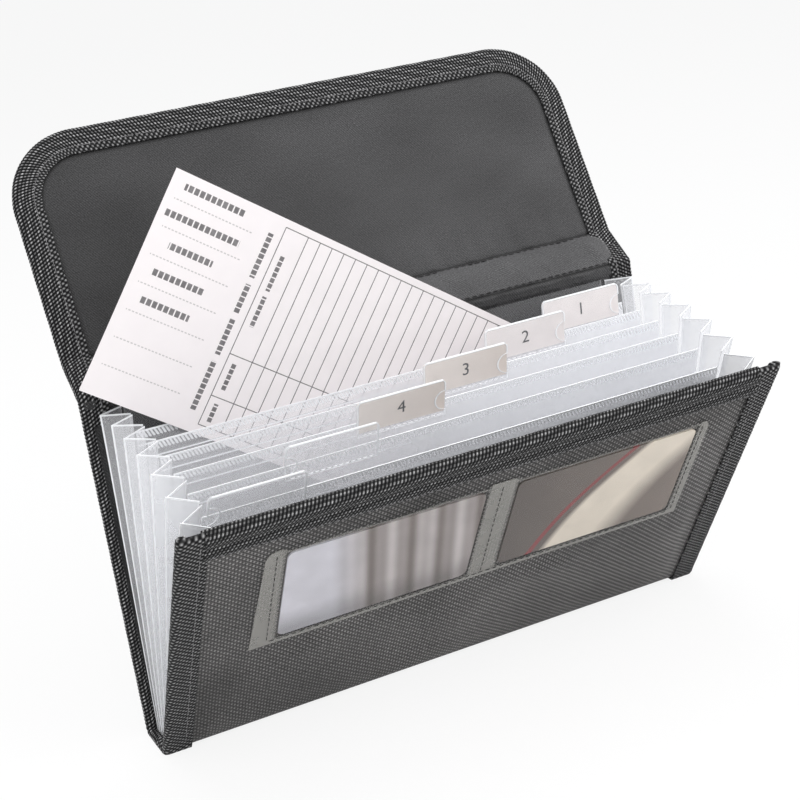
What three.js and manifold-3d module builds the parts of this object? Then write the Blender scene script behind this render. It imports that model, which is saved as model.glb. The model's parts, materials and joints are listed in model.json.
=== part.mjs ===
// Car document organizer: a fabric wallet whose bound cover folds round a pleated polypropylene file.
// Millimetres, +Z up, +Y to the back, origin under the middle of the spine that it stands on.
import * as THREE from "three";
import { mergeVertices } from "three/addons/utils/BufferGeometryUtils.js";
import Module from "manifold-3d";

const wasm = await Module();
wasm.setup();

// Cover, measured from the folds at the spine
const coverWidth = 265.5;
const frontHeight = 146;
const seamRise = 1.5; // the flap's seam stands this far above the front's top edge
const bandHeight = 20;
const flapHeight = 98;
const flapCorner = 32;

// How it stands open, in degrees
const backLean = 4.5;
const openAngle = 36.3; // between back and front panels
const bandAngle = 49.5; // back from the back panel's plane
const flapAngle = 24.3; // back from the back panel's plane

// Layers of the cover
const fabric = 0.8;
const board = 1.4;
const lining = 0.5;
const tape = 0.9;
const bandThickness = 2;
const spineThickness = 1.6;
const spineLip = 0.6; // spine fabric pressed thin inside the tape at its ends
const spineTape = 0.5;
const heelRound = 2.5;
const seamRadius = 0.45;

// Bindings: how far the folded tape reaches in from the edge
const outerLeg = 11.5;
const innerLeg = 3.5;
const topLeg = 14.5;
const tapeRound = 1.4;
const boardInset = 5;

// File
const pockets = 7;
const leafPitch = 2.5; // at the spine
const leaf = 0.35;
const facet = 0.3;
const pleatWidth = 13.2; // flat width of a gusset facet at its top
const footPleat = 1.2; // and at its foot
const gussetDrop = 4.5; // top of the pleats, below the front's top edge

// Tabs
const tabWidth = 40;
const tabHeight = 10;
const tabRise = 2; // tab top above the pleats
const tabInset = 2;
const tabCorner = 2.5;
const sleeveHeight = 17;
const sleeveSkin = 0.3;
const sleeveSlot = 0.4;
const sleeveWeld = 1.6;
const sleeveFold = 0.6;
const thumbRadius = 4.5;
const labelThickness = 0.2;
const labelled = 4; // tabs with a paper label, from the rear

// Card window on the front
const cardWidth = 85.6;
const cardHeight = 54;
const cardThickness = 0.76;
const cardCorner = 3.2;
const pocketPlay = 10; // spare width beside each card
const windowSide = 2.6;
const windowFoot = 4.5;
const windowLip = 3.2; // window above the cards
const windowStrip = 5;
const windowDrop = 9.5; // window top below the top tape
const windowShift = 3.8; // window centre to the right of the cover's
const cardShift = 1.2; // cards in their pockets, to the right of the middle
const vinyl = 0.35;

// Log sheet in the second pocket
const sheetWidth = 95;
const sheetTilt = 34.8; // long edges fall to the right
const sheetOverhang = 25; // past the left pleats
const sheetLift = 1.1; // over the corner of the left pleats
const sheetSide = 5.6; // kept from the right pleats
const sheetThickness = 0.2;

// Clearances
const ply = 0.2; // between layers that lie on each other
const seamGap = 0.25; // between the seam and the tongues on both sides of it
const creaseGap = 0.45; // each tongue from the upper fold's axis
const seamRelief = 3.3; // thick layers kept back from the lower fold
const creaseRelief = 2.4; // and from the upper fold
const leafFoot = 0.15; // leaves above their folds
const frontFoot = 2; // front layers above the fold
const tapeFoot = 3.3; // front tape above the fold
const hingeGap = 0.15; // leaves and facets, each from the line that they fold on
const hingeOffset = 0.3; // that line, from the middle of the leaf
const foldGap = 0.45; // facets, each from the middle plane of its pocket
const gussetSide = 0.4; // flattened pleats from the tape
const fit = 0.3; // loose pieces in their pockets

const arcSteps = 5;

// Worked-out sizes
const coverHalf = coverWidth / 2;
const sheetEdge = tape + ply; // layers inside the tape, from the bound edge
const leafHalf = leaf / 2;
const foldHeight = spineThickness + ply;
const firstFold = (pockets * leafPitch) / 2;
const seamHeight = frontHeight + seamRise;
const pleatTop = frontHeight - gussetDrop;
const dividerTop = pleatTop + tabRise - tabHeight;
const tabTop = pleatTop + tabRise;
const leafTopHalf = coverHalf - innerLeg - gussetSide - pleatWidth;
const leafFootHalf = coverHalf - innerLeg - gussetSide - footPleat;
const backStack = { lining: leafHalf + ply };
backStack.board = backStack.lining + lining + ply;
backStack.cover = backStack.board + board + ply;
backStack.outside = backStack.cover + fabric;
const frontStack = { board: leafHalf + ply };
frontStack.cover = frontStack.board + board + ply;
frontStack.outside = frontStack.cover + fabric;
const flapStack = { lining: -lining / 2 };
flapStack.board = flapStack.lining + lining + ply;
flapStack.cover = flapStack.board + board + ply;
flapStack.outside = flapStack.cover + fabric;

const radians = THREE.MathUtils.degToRad;

function finish(color, roughness, opacity = 1) {
  const material = new THREE.MeshStandardMaterial({ color, roughness, metalness: 0 });
  material.opacity = opacity;
  material.transparent = opacity < 1;
  return material;
}

const coverFinish = () => finish(0x4a4846, 0.92);
const liningFinish = () => finish(0x464648, 0.85);
const tapeFinish = () => finish(0x2c2c2e, 0.9);
const boardFinish = () => finish(0x8a7d6c, 0.95);
const sheetFinish = () => finish(0xe6eef4, 0.35, 0.55);
const vinylFinish = () => finish(0xd8d8d2, 0.2, 0.4);
const paperFinish = () => finish(0xf4eef0, 0.9);
const labelFinish = () => finish(0xc8bcb2, 0.9);
const cardFinish = (color) => finish(color, 0.5);

function piece(parent, name, geometry, material) {
  const mesh = new THREE.Mesh(geometry, material);
  mesh.name = name;
  parent.add(mesh);
}

function jointed(parent, position, turn = 0) {
  const group = new THREE.Group();
  group.position.set(...position);
  group.rotation.x = radians(turn);
  parent.add(group);
  group.updateWorldMatrix(true, false);
  return group;
}

// Solid geometry

function solidOf(geometry) {
  const bare = geometry.index ? geometry.toNonIndexed() : geometry.clone();
  bare.deleteAttribute("normal");
  bare.deleteAttribute("uv");
  const merged = mergeVertices(bare, 1e-4);
  const vertProperties = Float32Array.from(merged.attributes.position.array);
  const triVerts = Uint32Array.from(merged.index.array);
  return new wasm.Manifold(new wasm.Mesh({ numProp: 3, vertProperties, triVerts }));
}

function geometryOf(solid) {
  const mesh = solid.getMesh();
  const geometry = new THREE.BufferGeometry();
  geometry.setAttribute("position", new THREE.BufferAttribute(mesh.vertProperties, 3));
  geometry.setIndex(new THREE.BufferAttribute(mesh.triVerts, 1));
  return geometry;
}

function join(first, ...others) {
  const total = others.reduce((solid, other) => solid.add(solidOf(other)), solidOf(first));
  return geometryOf(total);
}

function cut(first, ...tools) {
  const rest = tools.reduce((solid, tool) => solid.subtract(solidOf(tool)), solidOf(first));
  return geometryOf(rest);
}

function outline(points) {
  return new THREE.Shape(points.map(([x, y]) => new THREE.Vector2(x, y)));
}

function extrude(shape, depth, options = {}) {
  const plain = { depth, bevelEnabled: false, curveSegments: arcSteps };
  return new THREE.ExtrudeGeometry(shape, { ...plain, ...options });
}

// An (x, z) outline made `thickness` deep, its rear face at y = rear
function plate(shape, thickness, rear, options) {
  const geometry = extrude(shape, thickness, options);
  geometry.rotateX(Math.PI / 2);
  return geometry.translate(0, rear, 0);
}

// The same with its edges rounded
function softPlate(shape, thickness, rear, round) {
  const reach = { bevelThickness: round, bevelSize: round, bevelOffset: -round };
  const bevel = { bevelEnabled: true, bevelSegments: 2, ...reach };
  return plate(shape, thickness - 2 * round, rear - round, bevel);
}

// A (y, z) profile carried along X from one x to the other
function bar(profile, from, to) {
  const geometry = extrude(profile, to - from);
  const basis = new THREE.Matrix4();
  basis.makeBasis(new THREE.Vector3(0, 1, 0), new THREE.Vector3(0, 0, 1), new THREE.Vector3(1, 0, 0));
  return geometry.applyMatrix4(basis).translate(from, 0, 0);
}

function block(from, to) {
  const low = new THREE.Vector3(...from);
  const high = new THREE.Vector3(...to);
  const size = high.clone().sub(low);
  const middle = low.add(high).multiplyScalar(0.5);
  return new THREE.BoxGeometry(size.x, size.y, size.z).translate(middle.x, middle.y, middle.z);
}

// Rectangle from (x0, z0) to (x1, z1), with round corners where `radii` gives them:
// lower left, lower right, upper right, upper left
function panel(x0, z0, x1, z1, radii = [0, 0, 0, 0]) {
  const [lowLeft, lowRight, highRight, highLeft] = radii;
  const shape = new THREE.Shape();
  const quarter = Math.PI / 2;
  shape.moveTo(x0 + lowLeft, z0);
  shape.lineTo(x1 - lowRight, z0);
  if (lowRight) shape.absarc(x1 - lowRight, z0 + lowRight, lowRight, -quarter, 0);
  shape.lineTo(x1, z1 - highRight);
  if (highRight) shape.absarc(x1 - highRight, z1 - highRight, highRight, 0, quarter);
  shape.lineTo(x0 + highLeft, z1);
  if (highLeft) shape.absarc(x0 + highLeft, z1 - highLeft, highLeft, quarter, 2 * quarter);
  shape.lineTo(x0, z0 + lowLeft);
  if (lowLeft) shape.absarc(x0 + lowLeft, z0 + lowLeft, lowLeft, 2 * quarter, 3 * quarter);
  return shape;
}

// Section of a tape folded over a bound edge. The layers that it holds lie between the depths
// `near` and `far`; `place` turns (distance in from the edge, depth) into the section's own axes.
function foldedTape(place, near, far, nearLeg, farLeg, thickness = tape) {
  const inside = [near - ply, far + ply];
  const outside = [inside[0] - thickness, inside[1] + thickness];
  const round = Math.min(tapeRound, (outside[1] - outside[0]) / 2 - ply / 2);
  const shape = new THREE.Shape();
  shape.moveTo(...place(nearLeg, outside[0]));
  shape.lineTo(...place(round, outside[0]));
  shape.quadraticCurveTo(...place(0, outside[0]), ...place(0, outside[0] + round));
  shape.lineTo(...place(0, outside[1] - round));
  shape.quadraticCurveTo(...place(0, outside[1]), ...place(round, outside[1]));
  shape.lineTo(...place(farLeg, outside[1]));
  shape.lineTo(...place(farLeg, inside[1]));
  shape.lineTo(...place(thickness, inside[1]));
  shape.lineTo(...place(thickness, inside[0]));
  shape.lineTo(...place(nearLeg, inside[0]));
  return shape;
}

const root = new THREE.Group();
const sides = [["left", -1], ["right", 1]];

// Leaves of the file fan out from folds along the spine, the first on the back panel, the last on the front
const leaves = [];
for (let k = 0; k <= pockets; k += 1) {
  const lean = (k * openAngle) / pockets - backLean;
  leaves.push(jointed(root, [0, firstFold - k * leafPitch, foldHeight], lean));
}
const back = leaves[0];
const front = leaves[pockets];

// Half width of a leaf, where its side folds are, at a height above its own fold
function leafSide(height) {
  const share = (height - leafFoot) / (pleatTop - leafFoot);
  return leafFootHalf + (leafTopHalf - leafFootHalf) * share;
}

function plainLeaf(top) {
  return outline([
    [-leafSide(leafFoot) + hingeGap, leafFoot],
    [leafSide(leafFoot) - hingeGap, leafFoot],
    [leafSide(top) - hingeGap, top],
    [-leafSide(top) + hingeGap, top],
  ]);
}

// The strip of x between two distances in from a bound edge
function strip(side, from, to) {
  return [side * (coverHalf - from), side * (coverHalf - to)].sort((a, b) => a - b);
}

function addBackPanel() {
  const half = coverHalf - sheetEdge;
  const thickTop = seamHeight - seamRelief;
  piece(back, "back_leaf", plate(plainLeaf(pleatTop), leaf, leafHalf), sheetFinish());
  const liningShape = panel(-half, boardInset, half, seamHeight - seamRadius - seamGap);
  piece(back, "back_lining", plate(liningShape, lining, backStack.lining + lining), liningFinish());
  const boardHalf = coverHalf - boardInset;
  const boardShape = panel(-boardHalf, boardInset, boardHalf, thickTop);
  piece(back, "back_board", plate(boardShape, board, backStack.board + board), boardFinish());

  // The outer fabric runs down the back and forward under the file as the spine
  const place = (depth, height) => {
    const point = new THREE.Vector3(0, depth, height).applyMatrix4(back.matrixWorld);
    return [point.y, point.z];
  };
  const spineFront = -firstFold - frontStack.outside;
  const [heelBack, heelTop] = place(backStack.outside, heelRound);
  const heel = heelBack - heelTop * Math.tan(radians(backLean));
  const profile = new THREE.Shape();
  profile.moveTo(spineFront, 0);
  profile.lineTo(heel - heelRound, 0);
  profile.quadraticCurveTo(heel, 0, heelBack, heelTop);
  profile.lineTo(...place(backStack.outside, thickTop));
  profile.lineTo(...place(backStack.cover, thickTop));
  profile.lineTo(place(backStack.cover, 0)[0], spineThickness);
  profile.lineTo(spineFront, spineThickness);
  const lipLow = spineTape + ply;
  const lipHigh = lipLow + spineLip;
  const recesses = [];
  for (const [, side] of sides) {
    const under = strip(side, 0, outerLeg + ply);
    const over = strip(side, 0, innerLeg + ply);
    recesses.push(block([under[0], spineFront - ply, -ply], [under[1], heel, lipLow]));
    recesses.push(block([over[0], spineFront - ply, lipHigh], [over[1], firstFold + ply, foldHeight]));
  }
  piece(root, "back_cover", cut(bar(profile, -half, half), ...recesses), coverFinish());

  // Tape over each side of the back, carried on round the end of the spine
  for (const [name, side] of sides) {
    const across = (inward, depth) => [side * (coverHalf - inward), depth];
    const section = foldedTape(across, backStack.lining, backStack.outside, innerLeg, outerLeg, tape);
    const upright = extrude(section, thickTop - tapeFoot).translate(0, 0, tapeFoot);
    upright.applyMatrix4(back.matrixWorld);
    const endSection = foldedTape(across, lipLow, lipHigh, outerLeg, innerLeg, spineTape);
    const end = plate(endSection, firstFold - spineFront, firstFold);
    const wall = strip(side, 0, tape);
    const corner = block([wall[0], firstFold - leafPitch, 0], [wall[1], heel, tapeFoot + foldHeight + tape]);
    piece(root, `back_binding_${name}`, join(upright, end, corner), tapeFinish());
  }
}

function addFlap() {
  const half = coverHalf - sheetEdge;
  const inner = -lining / 2;
  const seam = jointed(back, [0, backStack.lining + lining / 2, seamHeight]);
  const thread = new THREE.CylinderGeometry(seamRadius, seamRadius, 2 * half, 8).rotateZ(Math.PI / 2);
  piece(seam, "band_seam", thread, tapeFinish());

  // The band is thin where it folds, and its ends carry the tape
  const band = jointed(seam, [0, 0, 0], -bandAngle);
  const bandFoot = seamRadius + seamGap;
  const thickEnd = bandHeight - creaseRelief;
  const profile = outline([
    [inner, bandFoot],
    [-inner, bandFoot],
    [inner + bandThickness, seamRelief],
    [inner + bandThickness, thickEnd],
    [-inner, bandHeight - creaseGap],
    [inner, bandHeight - creaseGap],
  ]);
  const rim = panel(inner - tape, seamRelief, inner + bandThickness + tape, thickEnd);
  const rims = sides.map(([, side]) => bar(rim, ...strip(side, 0, outerLeg)));
  piece(band, "band_cover", join(bar(profile, -half, half), ...rims), liningFinish());

  const flap = jointed(band, [0, 0, bandHeight], bandAngle - flapAngle);
  const within = (inset, foot) => {
    const round = flapCorner - inset;
    return panel(inset - coverHalf, foot, coverHalf - inset, flapHeight - inset, [0, 0, round, round]);
  };
  const liningShape = within(sheetEdge, creaseGap);
  piece(flap, "flap_lining", plate(liningShape, lining, flapStack.lining + lining), liningFinish());
  const boardShape = within(boardInset, boardInset);
  piece(flap, "flap_board", plate(boardShape, board, flapStack.board + board), boardFinish());
  piece(flap, "flap_cover", plate(within(sheetEdge, creaseGap), fabric, flapStack.outside), coverFinish());
  const depth = flapStack.outside - flapStack.lining + 2 * ply;
  const slab = softPlate(within(0, creaseRelief), depth + 2 * tape, flapStack.outside + ply + tape, tape / 2);
  const hollow = plate(within(tape, 0), depth, flapStack.outside + ply);
  const opening = plate(within(outerLeg, 0), 3 * depth, flapStack.outside + depth);
  piece(flap, "flap_binding", cut(slab, hollow, opening), tapeFinish());
}

function addFrontPanel() {
  const half = coverHalf - sheetEdge;
  piece(front, "front_leaf", plate(plainLeaf(pleatTop), leaf, leafHalf), sheetFinish());
  const boardHalf = coverHalf - boardInset;
  const boardShape = panel(-boardHalf, frontFoot, boardHalf, frontHeight - boardInset);
  piece(front, "front_board", plate(boardShape, board, -frontStack.board), boardFinish());
  const coverShape = panel(-half, frontFoot, half, frontHeight - sheetEdge);
  piece(front, "front_cover", plate(coverShape, fabric, -frontStack.cover), coverFinish());
  for (const [name, side] of sides) {
    const across = (inward, depth) => [side * (coverHalf - inward), -depth];
    const section = foldedTape(across, frontStack.board, frontStack.outside, innerLeg, outerLeg, tape);
    const upright = extrude(section, frontHeight - tapeFoot).translate(0, 0, tapeFoot);
    piece(front, `front_binding_${name}`, upright, tapeFinish());
  }
  const downward = (inward, depth) => [-depth, frontHeight - inward];
  const section = foldedTape(downward, frontStack.board, frontStack.outside, innerLeg, topLeg, tape);
  const topHalf = coverHalf - outerLeg - ply;
  piece(front, "front_binding_top", bar(section, -topHalf, topHalf), tapeFinish());
}

// Clear vinyl sewn on at the sides, foot and middle: two card pockets, open at the top
function addCardWindow() {
  const pocketWidth = cardWidth + pocketPlay;
  const windowHalf = pocketWidth + windowStrip / 2 + windowSide;
  const top = frontHeight - topLeg - windowDrop;
  const cardTop = top - windowLip;
  const cardFoot = cardTop - cardHeight;
  const pocketFoot = cardFoot - fit;
  const rear = -frontStack.outside - ply;
  const pocketDepth = cardThickness + fit;
  const sheet = panel(windowShift - windowHalf, pocketFoot - windowFoot, windowShift + windowHalf, top);
  const pocketSpaces = [];
  for (const [name, side] of sides) {
    const middle = windowShift + (side * (windowStrip + pocketWidth)) / 2;
    const space = panel(middle - pocketWidth / 2, pocketFoot, middle + pocketWidth / 2, top + windowLip);
    pocketSpaces.push(plate(space, pocketDepth + ply, rear + ply));
    const left = middle + cardShift - cardWidth / 2;
    const round = [cardCorner, cardCorner, cardCorner, cardCorner];
    const card = panel(left, cardFoot, left + cardWidth, cardTop, round);
    const color = side < 0 ? 0xc9c4cf : 0x6d625b;
    piece(front, `card_${name}`, plate(card, cardThickness, rear - fit / 2), cardFinish(color));
  }
  piece(front, "card_window", cut(plate(sheet, pocketDepth + vinyl, rear), ...pocketSpaces), vinylFinish());
}

// Six dividers, rear to front, their tabs stepping from right to left
function addDividers() {
  const count = pockets - 1;
  const tabHalf = tabWidth / 2;
  const tabReach = leafSide(dividerTop) - tabInset - tabHalf;
  const sleeveFoot = tabTop - sleeveHeight;
  const slotFoot = sleeveFoot + sleeveWeld;
  const slotTop = tabTop - sleeveFold;
  const slotFront = -leafHalf - sleeveSlot;
  for (let i = 1; i <= count; i += 1) {
    const middle = tabReach * (1 - (2 * (i - 1)) / (count - 1));
    const body = plate(plainLeaf(dividerTop), leaf, leafHalf);
    const round = [0, 0, tabCorner, tabCorner];
    const tab = panel(middle - tabHalf, sleeveFoot, middle + tabHalf, tabTop, round);
    const backing = plate(tab, leaf, leafHalf);
    const sleeve = plate(tab, leafHalf + sleeveSlot + sleeveSkin, 0);
    const slot = block([middle - tabWidth, slotFront, slotFoot], [middle + tabWidth, -leafHalf, slotTop]);
    const thumb = new THREE.CylinderGeometry(thumbRadius, thumbRadius, sleeveSlot + sleeveSkin, 14);
    const thumbSide = i > labelled ? -1 : 1;
    thumb.translate(middle + thumbSide * tabHalf, slotFront - sleeveSkin / 2, (slotFoot + slotTop) / 2);
    piece(leaves[i], `divider_${i}`, cut(join(body, backing, sleeve), slot, thumb), sheetFinish());
    if (i > labelled) continue;
    const labelHalf = tabHalf - fit;
    const labelShape = panel(middle - labelHalf, slotFoot + fit / 2, middle + labelHalf, slotTop - fit / 2);
    const labelRear = -leafHalf - (sleeveSlot - labelThickness) / 2;
    piece(leaves[i], `label_${i}`, plate(labelShape, labelThickness, labelRear), labelFinish());
  }
}

// Each pocket's side walls fold outward: a facet from the leaf behind and one from the leaf in front,
// turning on slanted lines down the leaves' sides and meeting on the pocket's middle plane
function addPleats() {
  for (let pocket = 1; pocket <= pockets; pocket += 1) {
    const pair = [leaves[pocket - 1], leaves[pocket]];
    const middle = new THREE.Vector3();
    let offset = 0;
    for (const holder of pair) {
      const forward = new THREE.Vector3(0, -1, 0).transformDirection(holder.matrixWorld);
      offset += forward.dot(new THREE.Vector3().setFromMatrixPosition(holder.matrixWorld));
      middle.add(forward);
    }
    offset /= middle.length();
    middle.normalize();
    for (const [name, side] of sides) {
      addFacet(`gusset_${name}_${pocket}_rear`, pair[0], side, 1, middle, offset);
      addFacet(`gusset_${name}_${pocket}_front`, pair[1], side, -1, middle, offset);
    }
  }
}

function addFacet(name, holder, side, facing, middle, offset) {
  const low = new THREE.Vector3(side * leafFootHalf, -facing * hingeOffset, leafFoot);
  const high = new THREE.Vector3(side * leafTopHalf, -facing * hingeOffset, pleatTop);
  const room = (point, frame) => facing * (offset - middle.dot(point.applyMatrix4(frame))) - foldGap;
  const angle = Math.asin(room(high.clone(), holder.matrixWorld) / pleatWidth);
  const along = high.clone().sub(low).normalize();
  const outward = new THREE.Vector3(side * along.z, 0, -side * along.x);
  const across = outward.multiplyScalar(Math.cos(angle));
  across.add(new THREE.Vector3(0, -facing * Math.sin(angle), 0));
  const hinge = new THREE.Group();
  hinge.position.copy(low);
  const basis = new THREE.Matrix4().makeBasis(across, along.clone().cross(across), along);
  hinge.quaternion.setFromRotationMatrix(basis);
  holder.add(hinge);
  hinge.updateWorldMatrix(true, false);

  // Places on the facet are (distance from its fold line, distance along it)
  const start = room(new THREE.Vector3(), hinge.matrixWorld);
  const outwardRate = room(new THREE.Vector3(1, 0, 0), hinge.matrixWorld) - start;
  const alongRate = room(new THREE.Vector3(0, 0, 1), hinge.matrixWorld) - start;
  const rise = (width, height) => (height - leafFoot - width * across.z) / along.z;
  const tip = (height) => {
    const level = (height - leafFoot) / along.z;
    return -(start + alongRate * level) / (outwardRate - (alongRate * across.z) / along.z);
  };
  const corners = [
    [hingeGap, leafFoot],
    [tip(leafFoot), leafFoot],
    [tip(pleatTop), pleatTop],
    [hingeGap, pleatTop],
  ];
  const shape = outline(corners.map(([width, height]) => [width, rise(width, height)]));
  piece(hinge, name, plate(shape, facet, facet / 2), sheetFinish());
}

// A paper sheet stands askew in the second pocket, over the left pleats
function addLogSheet() {
  const run = new THREE.Vector2(Math.cos(radians(sheetTilt)), -Math.sin(radians(sheetTilt)));
  const rise = new THREE.Vector2(-run.y, run.x);
  const crossing = new THREE.Vector2(-leafTopHalf, pleatTop + sheetLift);
  const lowLeft = crossing.clone().addScaledVector(run, -sheetOverhang);
  const reach = leafTopHalf - sheetSide - lowLeft.x;
  const sheetLength = (reach - sheetWidth * rise.x) / run.x;
  const corner = (length, width) => {
    const point = lowLeft.clone().addScaledVector(run, length).addScaledVector(rise, width);
    return [point.x, point.y];
  };
  const shape = outline([
    corner(0, 0),
    corner(sheetLength, 0),
    corner(sheetLength, sheetWidth),
    corner(0, sheetWidth),
  ]);
  const rear = -leafHalf - sleeveSlot - sleeveSkin - fit;
  piece(leaves[1], "log_sheet", plate(shape, sheetThickness, rear), paperFinish());
}

addBackPanel();
addFlap();
addFrontPanel();
addCardWindow();
addDividers();
addPleats();
addLogSheet();

export default root;
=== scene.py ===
"""Looks of the car document organizer: cloth, webbing, stitches, film, paper and cards on its frame."""

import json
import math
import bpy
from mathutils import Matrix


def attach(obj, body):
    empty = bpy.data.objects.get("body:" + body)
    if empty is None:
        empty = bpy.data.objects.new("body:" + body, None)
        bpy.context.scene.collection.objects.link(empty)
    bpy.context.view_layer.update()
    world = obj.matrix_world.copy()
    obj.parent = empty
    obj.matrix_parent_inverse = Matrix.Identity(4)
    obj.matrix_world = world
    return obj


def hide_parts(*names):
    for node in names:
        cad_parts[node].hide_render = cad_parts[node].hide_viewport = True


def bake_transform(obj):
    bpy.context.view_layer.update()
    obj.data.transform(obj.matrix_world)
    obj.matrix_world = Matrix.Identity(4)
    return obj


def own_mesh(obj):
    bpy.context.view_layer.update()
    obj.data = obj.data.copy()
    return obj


bl_info = {
    "name": "Car document organizer",
    "version": (1, 0, 0),
    "blender": (4, 5, 0),
    "location": "3D View > Sidebar > Organizer",
    "description": "Builds the sewn cover, the pleated file and the papers of a car document organizer",
    "category": "Object",
}

import bpy
import numpy as np
from mathutils import Matrix

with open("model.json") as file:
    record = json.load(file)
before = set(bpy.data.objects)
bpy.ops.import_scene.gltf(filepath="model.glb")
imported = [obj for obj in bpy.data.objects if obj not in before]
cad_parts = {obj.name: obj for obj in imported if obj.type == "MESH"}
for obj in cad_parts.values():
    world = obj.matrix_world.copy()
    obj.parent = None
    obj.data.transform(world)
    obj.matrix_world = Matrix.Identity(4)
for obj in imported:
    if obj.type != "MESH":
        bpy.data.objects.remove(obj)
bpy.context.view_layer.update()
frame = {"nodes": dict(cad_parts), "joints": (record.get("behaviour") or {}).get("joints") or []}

MM = 0.001
POCKETS = 7
CLOTH_MAP = "cloth"
TAPE_STEP = 0.36 * MM
TAPE_THIN = 4
SIDES = (("left", -1.0), ("right", 1.0))


def length_setting(name, description, millimetres):
    """A length among the settings."""
    length = millimetres * MM
    return bpy.props.FloatProperty(name=name, description=description, default=length, unit="LENGTH")


def colour_setting(name, description, default):
    """A colour among the settings."""
    return bpy.props.FloatVectorProperty(
        name=name, description=description, default=default, subtype="COLOR", min=0, max=1
    )


class OrganizerSizes(bpy.types.PropertyGroup):
    """Lengths that shape the sewn and welded details."""

    cloth: length_setting("Cloth", "Thickness of the outer cloth", 0.8)
    lining: length_setting("Lining", "Thickness of the lining", 0.5)
    tape: length_setting("Tape", "Thickness of the webbing between its grains", 0.7)
    grain: length_setting("Grain", "Height of the webbing's raised grains", 0.34)
    grain_pitch: length_setting("Grain pitch", "Distance between grains along the webbing", 1.6)
    lane: length_setting("Grain lane", "Width of one lane of grains", 1.4)
    tape_leg: length_setting("Tape leg", "Reach of the tape over each face of the edge", 11.5)
    short_leg: length_setting("Short tape leg", "Reach of the tape beside the file", 3.5)
    flap_corner: length_setting("Flap corner", "Radius of the flap's round corners", 32)
    stitch: length_setting("Stitch", "Length of one stitch", 2.5)
    stitch_pitch: length_setting("Stitch pitch", "Distance between stitches", 3.3)
    thread: length_setting("Thread", "Radius of the sewing thread", 0.27)
    film: length_setting("Film", "Thickness of the file's plastic sheet", 0.3)
    tab_height: length_setting("Tab height", "Height of a tab above its divider", 10)
    sleeve_height: length_setting("Sleeve height", "Height of a tab's label sleeve", 17)
    thumb: length_setting("Thumb cut", "Radius of a sleeve's thumb cut", 4.5)
    hem: length_setting("Hem", "Height of the welded strip along a divider's top", 6.5)
    tooth: length_setting("Weld tooth", "Distance between the teeth of a welded hem", 1.6)
    sheet_width: length_setting("Sheet width", "Short side of the log sheet", 95)
    sheet_length: length_setting("Sheet length", "Long side of the log sheet", 233.8)
    sheet_tilt: bpy.props.FloatProperty(
        name="Sheet tilt",
        description="Turn of the log sheet in its pocket",
        default=math.radians(34.8),
        subtype="ANGLE",
    )


class OrganizerColours(bpy.types.PropertyGroup):
    """Base colours, as linear values."""

    cloth: colour_setting("Cloth", "Outer cloth", (0.086, 0.083, 0.082))
    lining: colour_setting("Lining", "Lining cloth", (0.047, 0.0465, 0.048))
    tape: colour_setting("Tape", "Webbing between its grains", (0.005, 0.005, 0.0055))
    # Painted highlight on the webbing's crests, mixed in by the stored grain
    grain: colour_setting("Grain", "Crests of the webbing", (0.80, 0.795, 0.80))
    thread: colour_setting("Thread", "Sewing thread", (0.030, 0.029, 0.030))
    pale_thread: colour_setting("Pale thread", "Thread on the flap's tape", (0.22, 0.215, 0.22))
    film: colour_setting("Film", "Plastic of the file", (0.93, 0.935, 0.96))
    board: colour_setting("Board", "Stiffening board", (0.055, 0.054, 0.056))
    label: colour_setting("Label", "Tab labels", (0.85, 0.785, 0.735))
    label_end: colour_setting("Label end", "Browner end of the tab labels", (0.70, 0.62, 0.56))
    paper: colour_setting("Paper", "Log sheet", (0.90, 0.855, 0.862))
    ink: colour_setting("Ink", "Ruling and marks", (0.030, 0.029, 0.032))


def sizes():
    """The scene's size settings."""
    return bpy.context.scene.organizer_sizes


def colours(name):
    """One colour setting with full opacity."""
    return (*getattr(bpy.context.scene.organizer_colours, name), 1.0)


# Frames of the panels


def smooth(low, high, value):
    """Smooth step: 0 below `low`, 1 above `high` and 3s^2 - 2s^3 of the share s between them."""
    share = np.clip((value - low) / (high - low), 0.0, 1.0)
    return share * share * (3.0 - 2.0 * share)


def hump(value, rise, fall):
    """1 between two smooth steps: up over the span `rise` and down again over the span `fall`."""
    return smooth(*rise, value) * (1 - smooth(*fall, value))


def groove(distance, width):
    """1 on a line, falling off on both sides as exp(-s^2) of the distance s in widths."""
    return np.exp(-((distance / width) ** 2))


def corners(node):
    """Vertex places of one CAD node, as an (n, 3) array."""
    vertices = frame["nodes"][node].data.vertices
    places = np.empty(len(vertices) * 3)
    vertices.foreach_get("co", places)
    return places.reshape(-1, 3)


def joint(name):
    """One joint of the record by name."""
    return next(entry for entry in frame["joints"] if entry["name"] == name)


def joint_place(name):
    """A joint's place in metres."""
    return np.array(joint(name)["pos_m"])


class Panel:
    """Axes of one flat panel: X across, `up` along it and `back` square to it, from its fold line."""

    def __init__(self, fold, lean):
        self.fold = np.array(fold)
        self.up = np.array((0.0, -math.sin(lean), math.cos(lean)))
        self.back = np.array((0.0, math.cos(lean), math.sin(lean)))

    def at(self, x, depth, height):
        """Fold line, plus x across, depth to the back and height along the panel."""
        x, depth, height = np.broadcast_arrays(x, depth, height)
        across = x[..., None] * np.array((1.0, 0.0, 0.0))
        return self.fold + across + depth[..., None] * self.back + height[..., None] * self.up

    def measure(self, node):
        """A node's vertices as rows of x, depth and height on this panel."""
        places = corners(node) - self.fold
        return np.stack((places[:, 0], places @ self.back, places @ self.up), axis=1)

    def extent(self, node):
        """Least and greatest x, depth and height of a node on this panel."""
        local = self.measure(node)
        return local.min(axis=0), local.max(axis=0)


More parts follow.
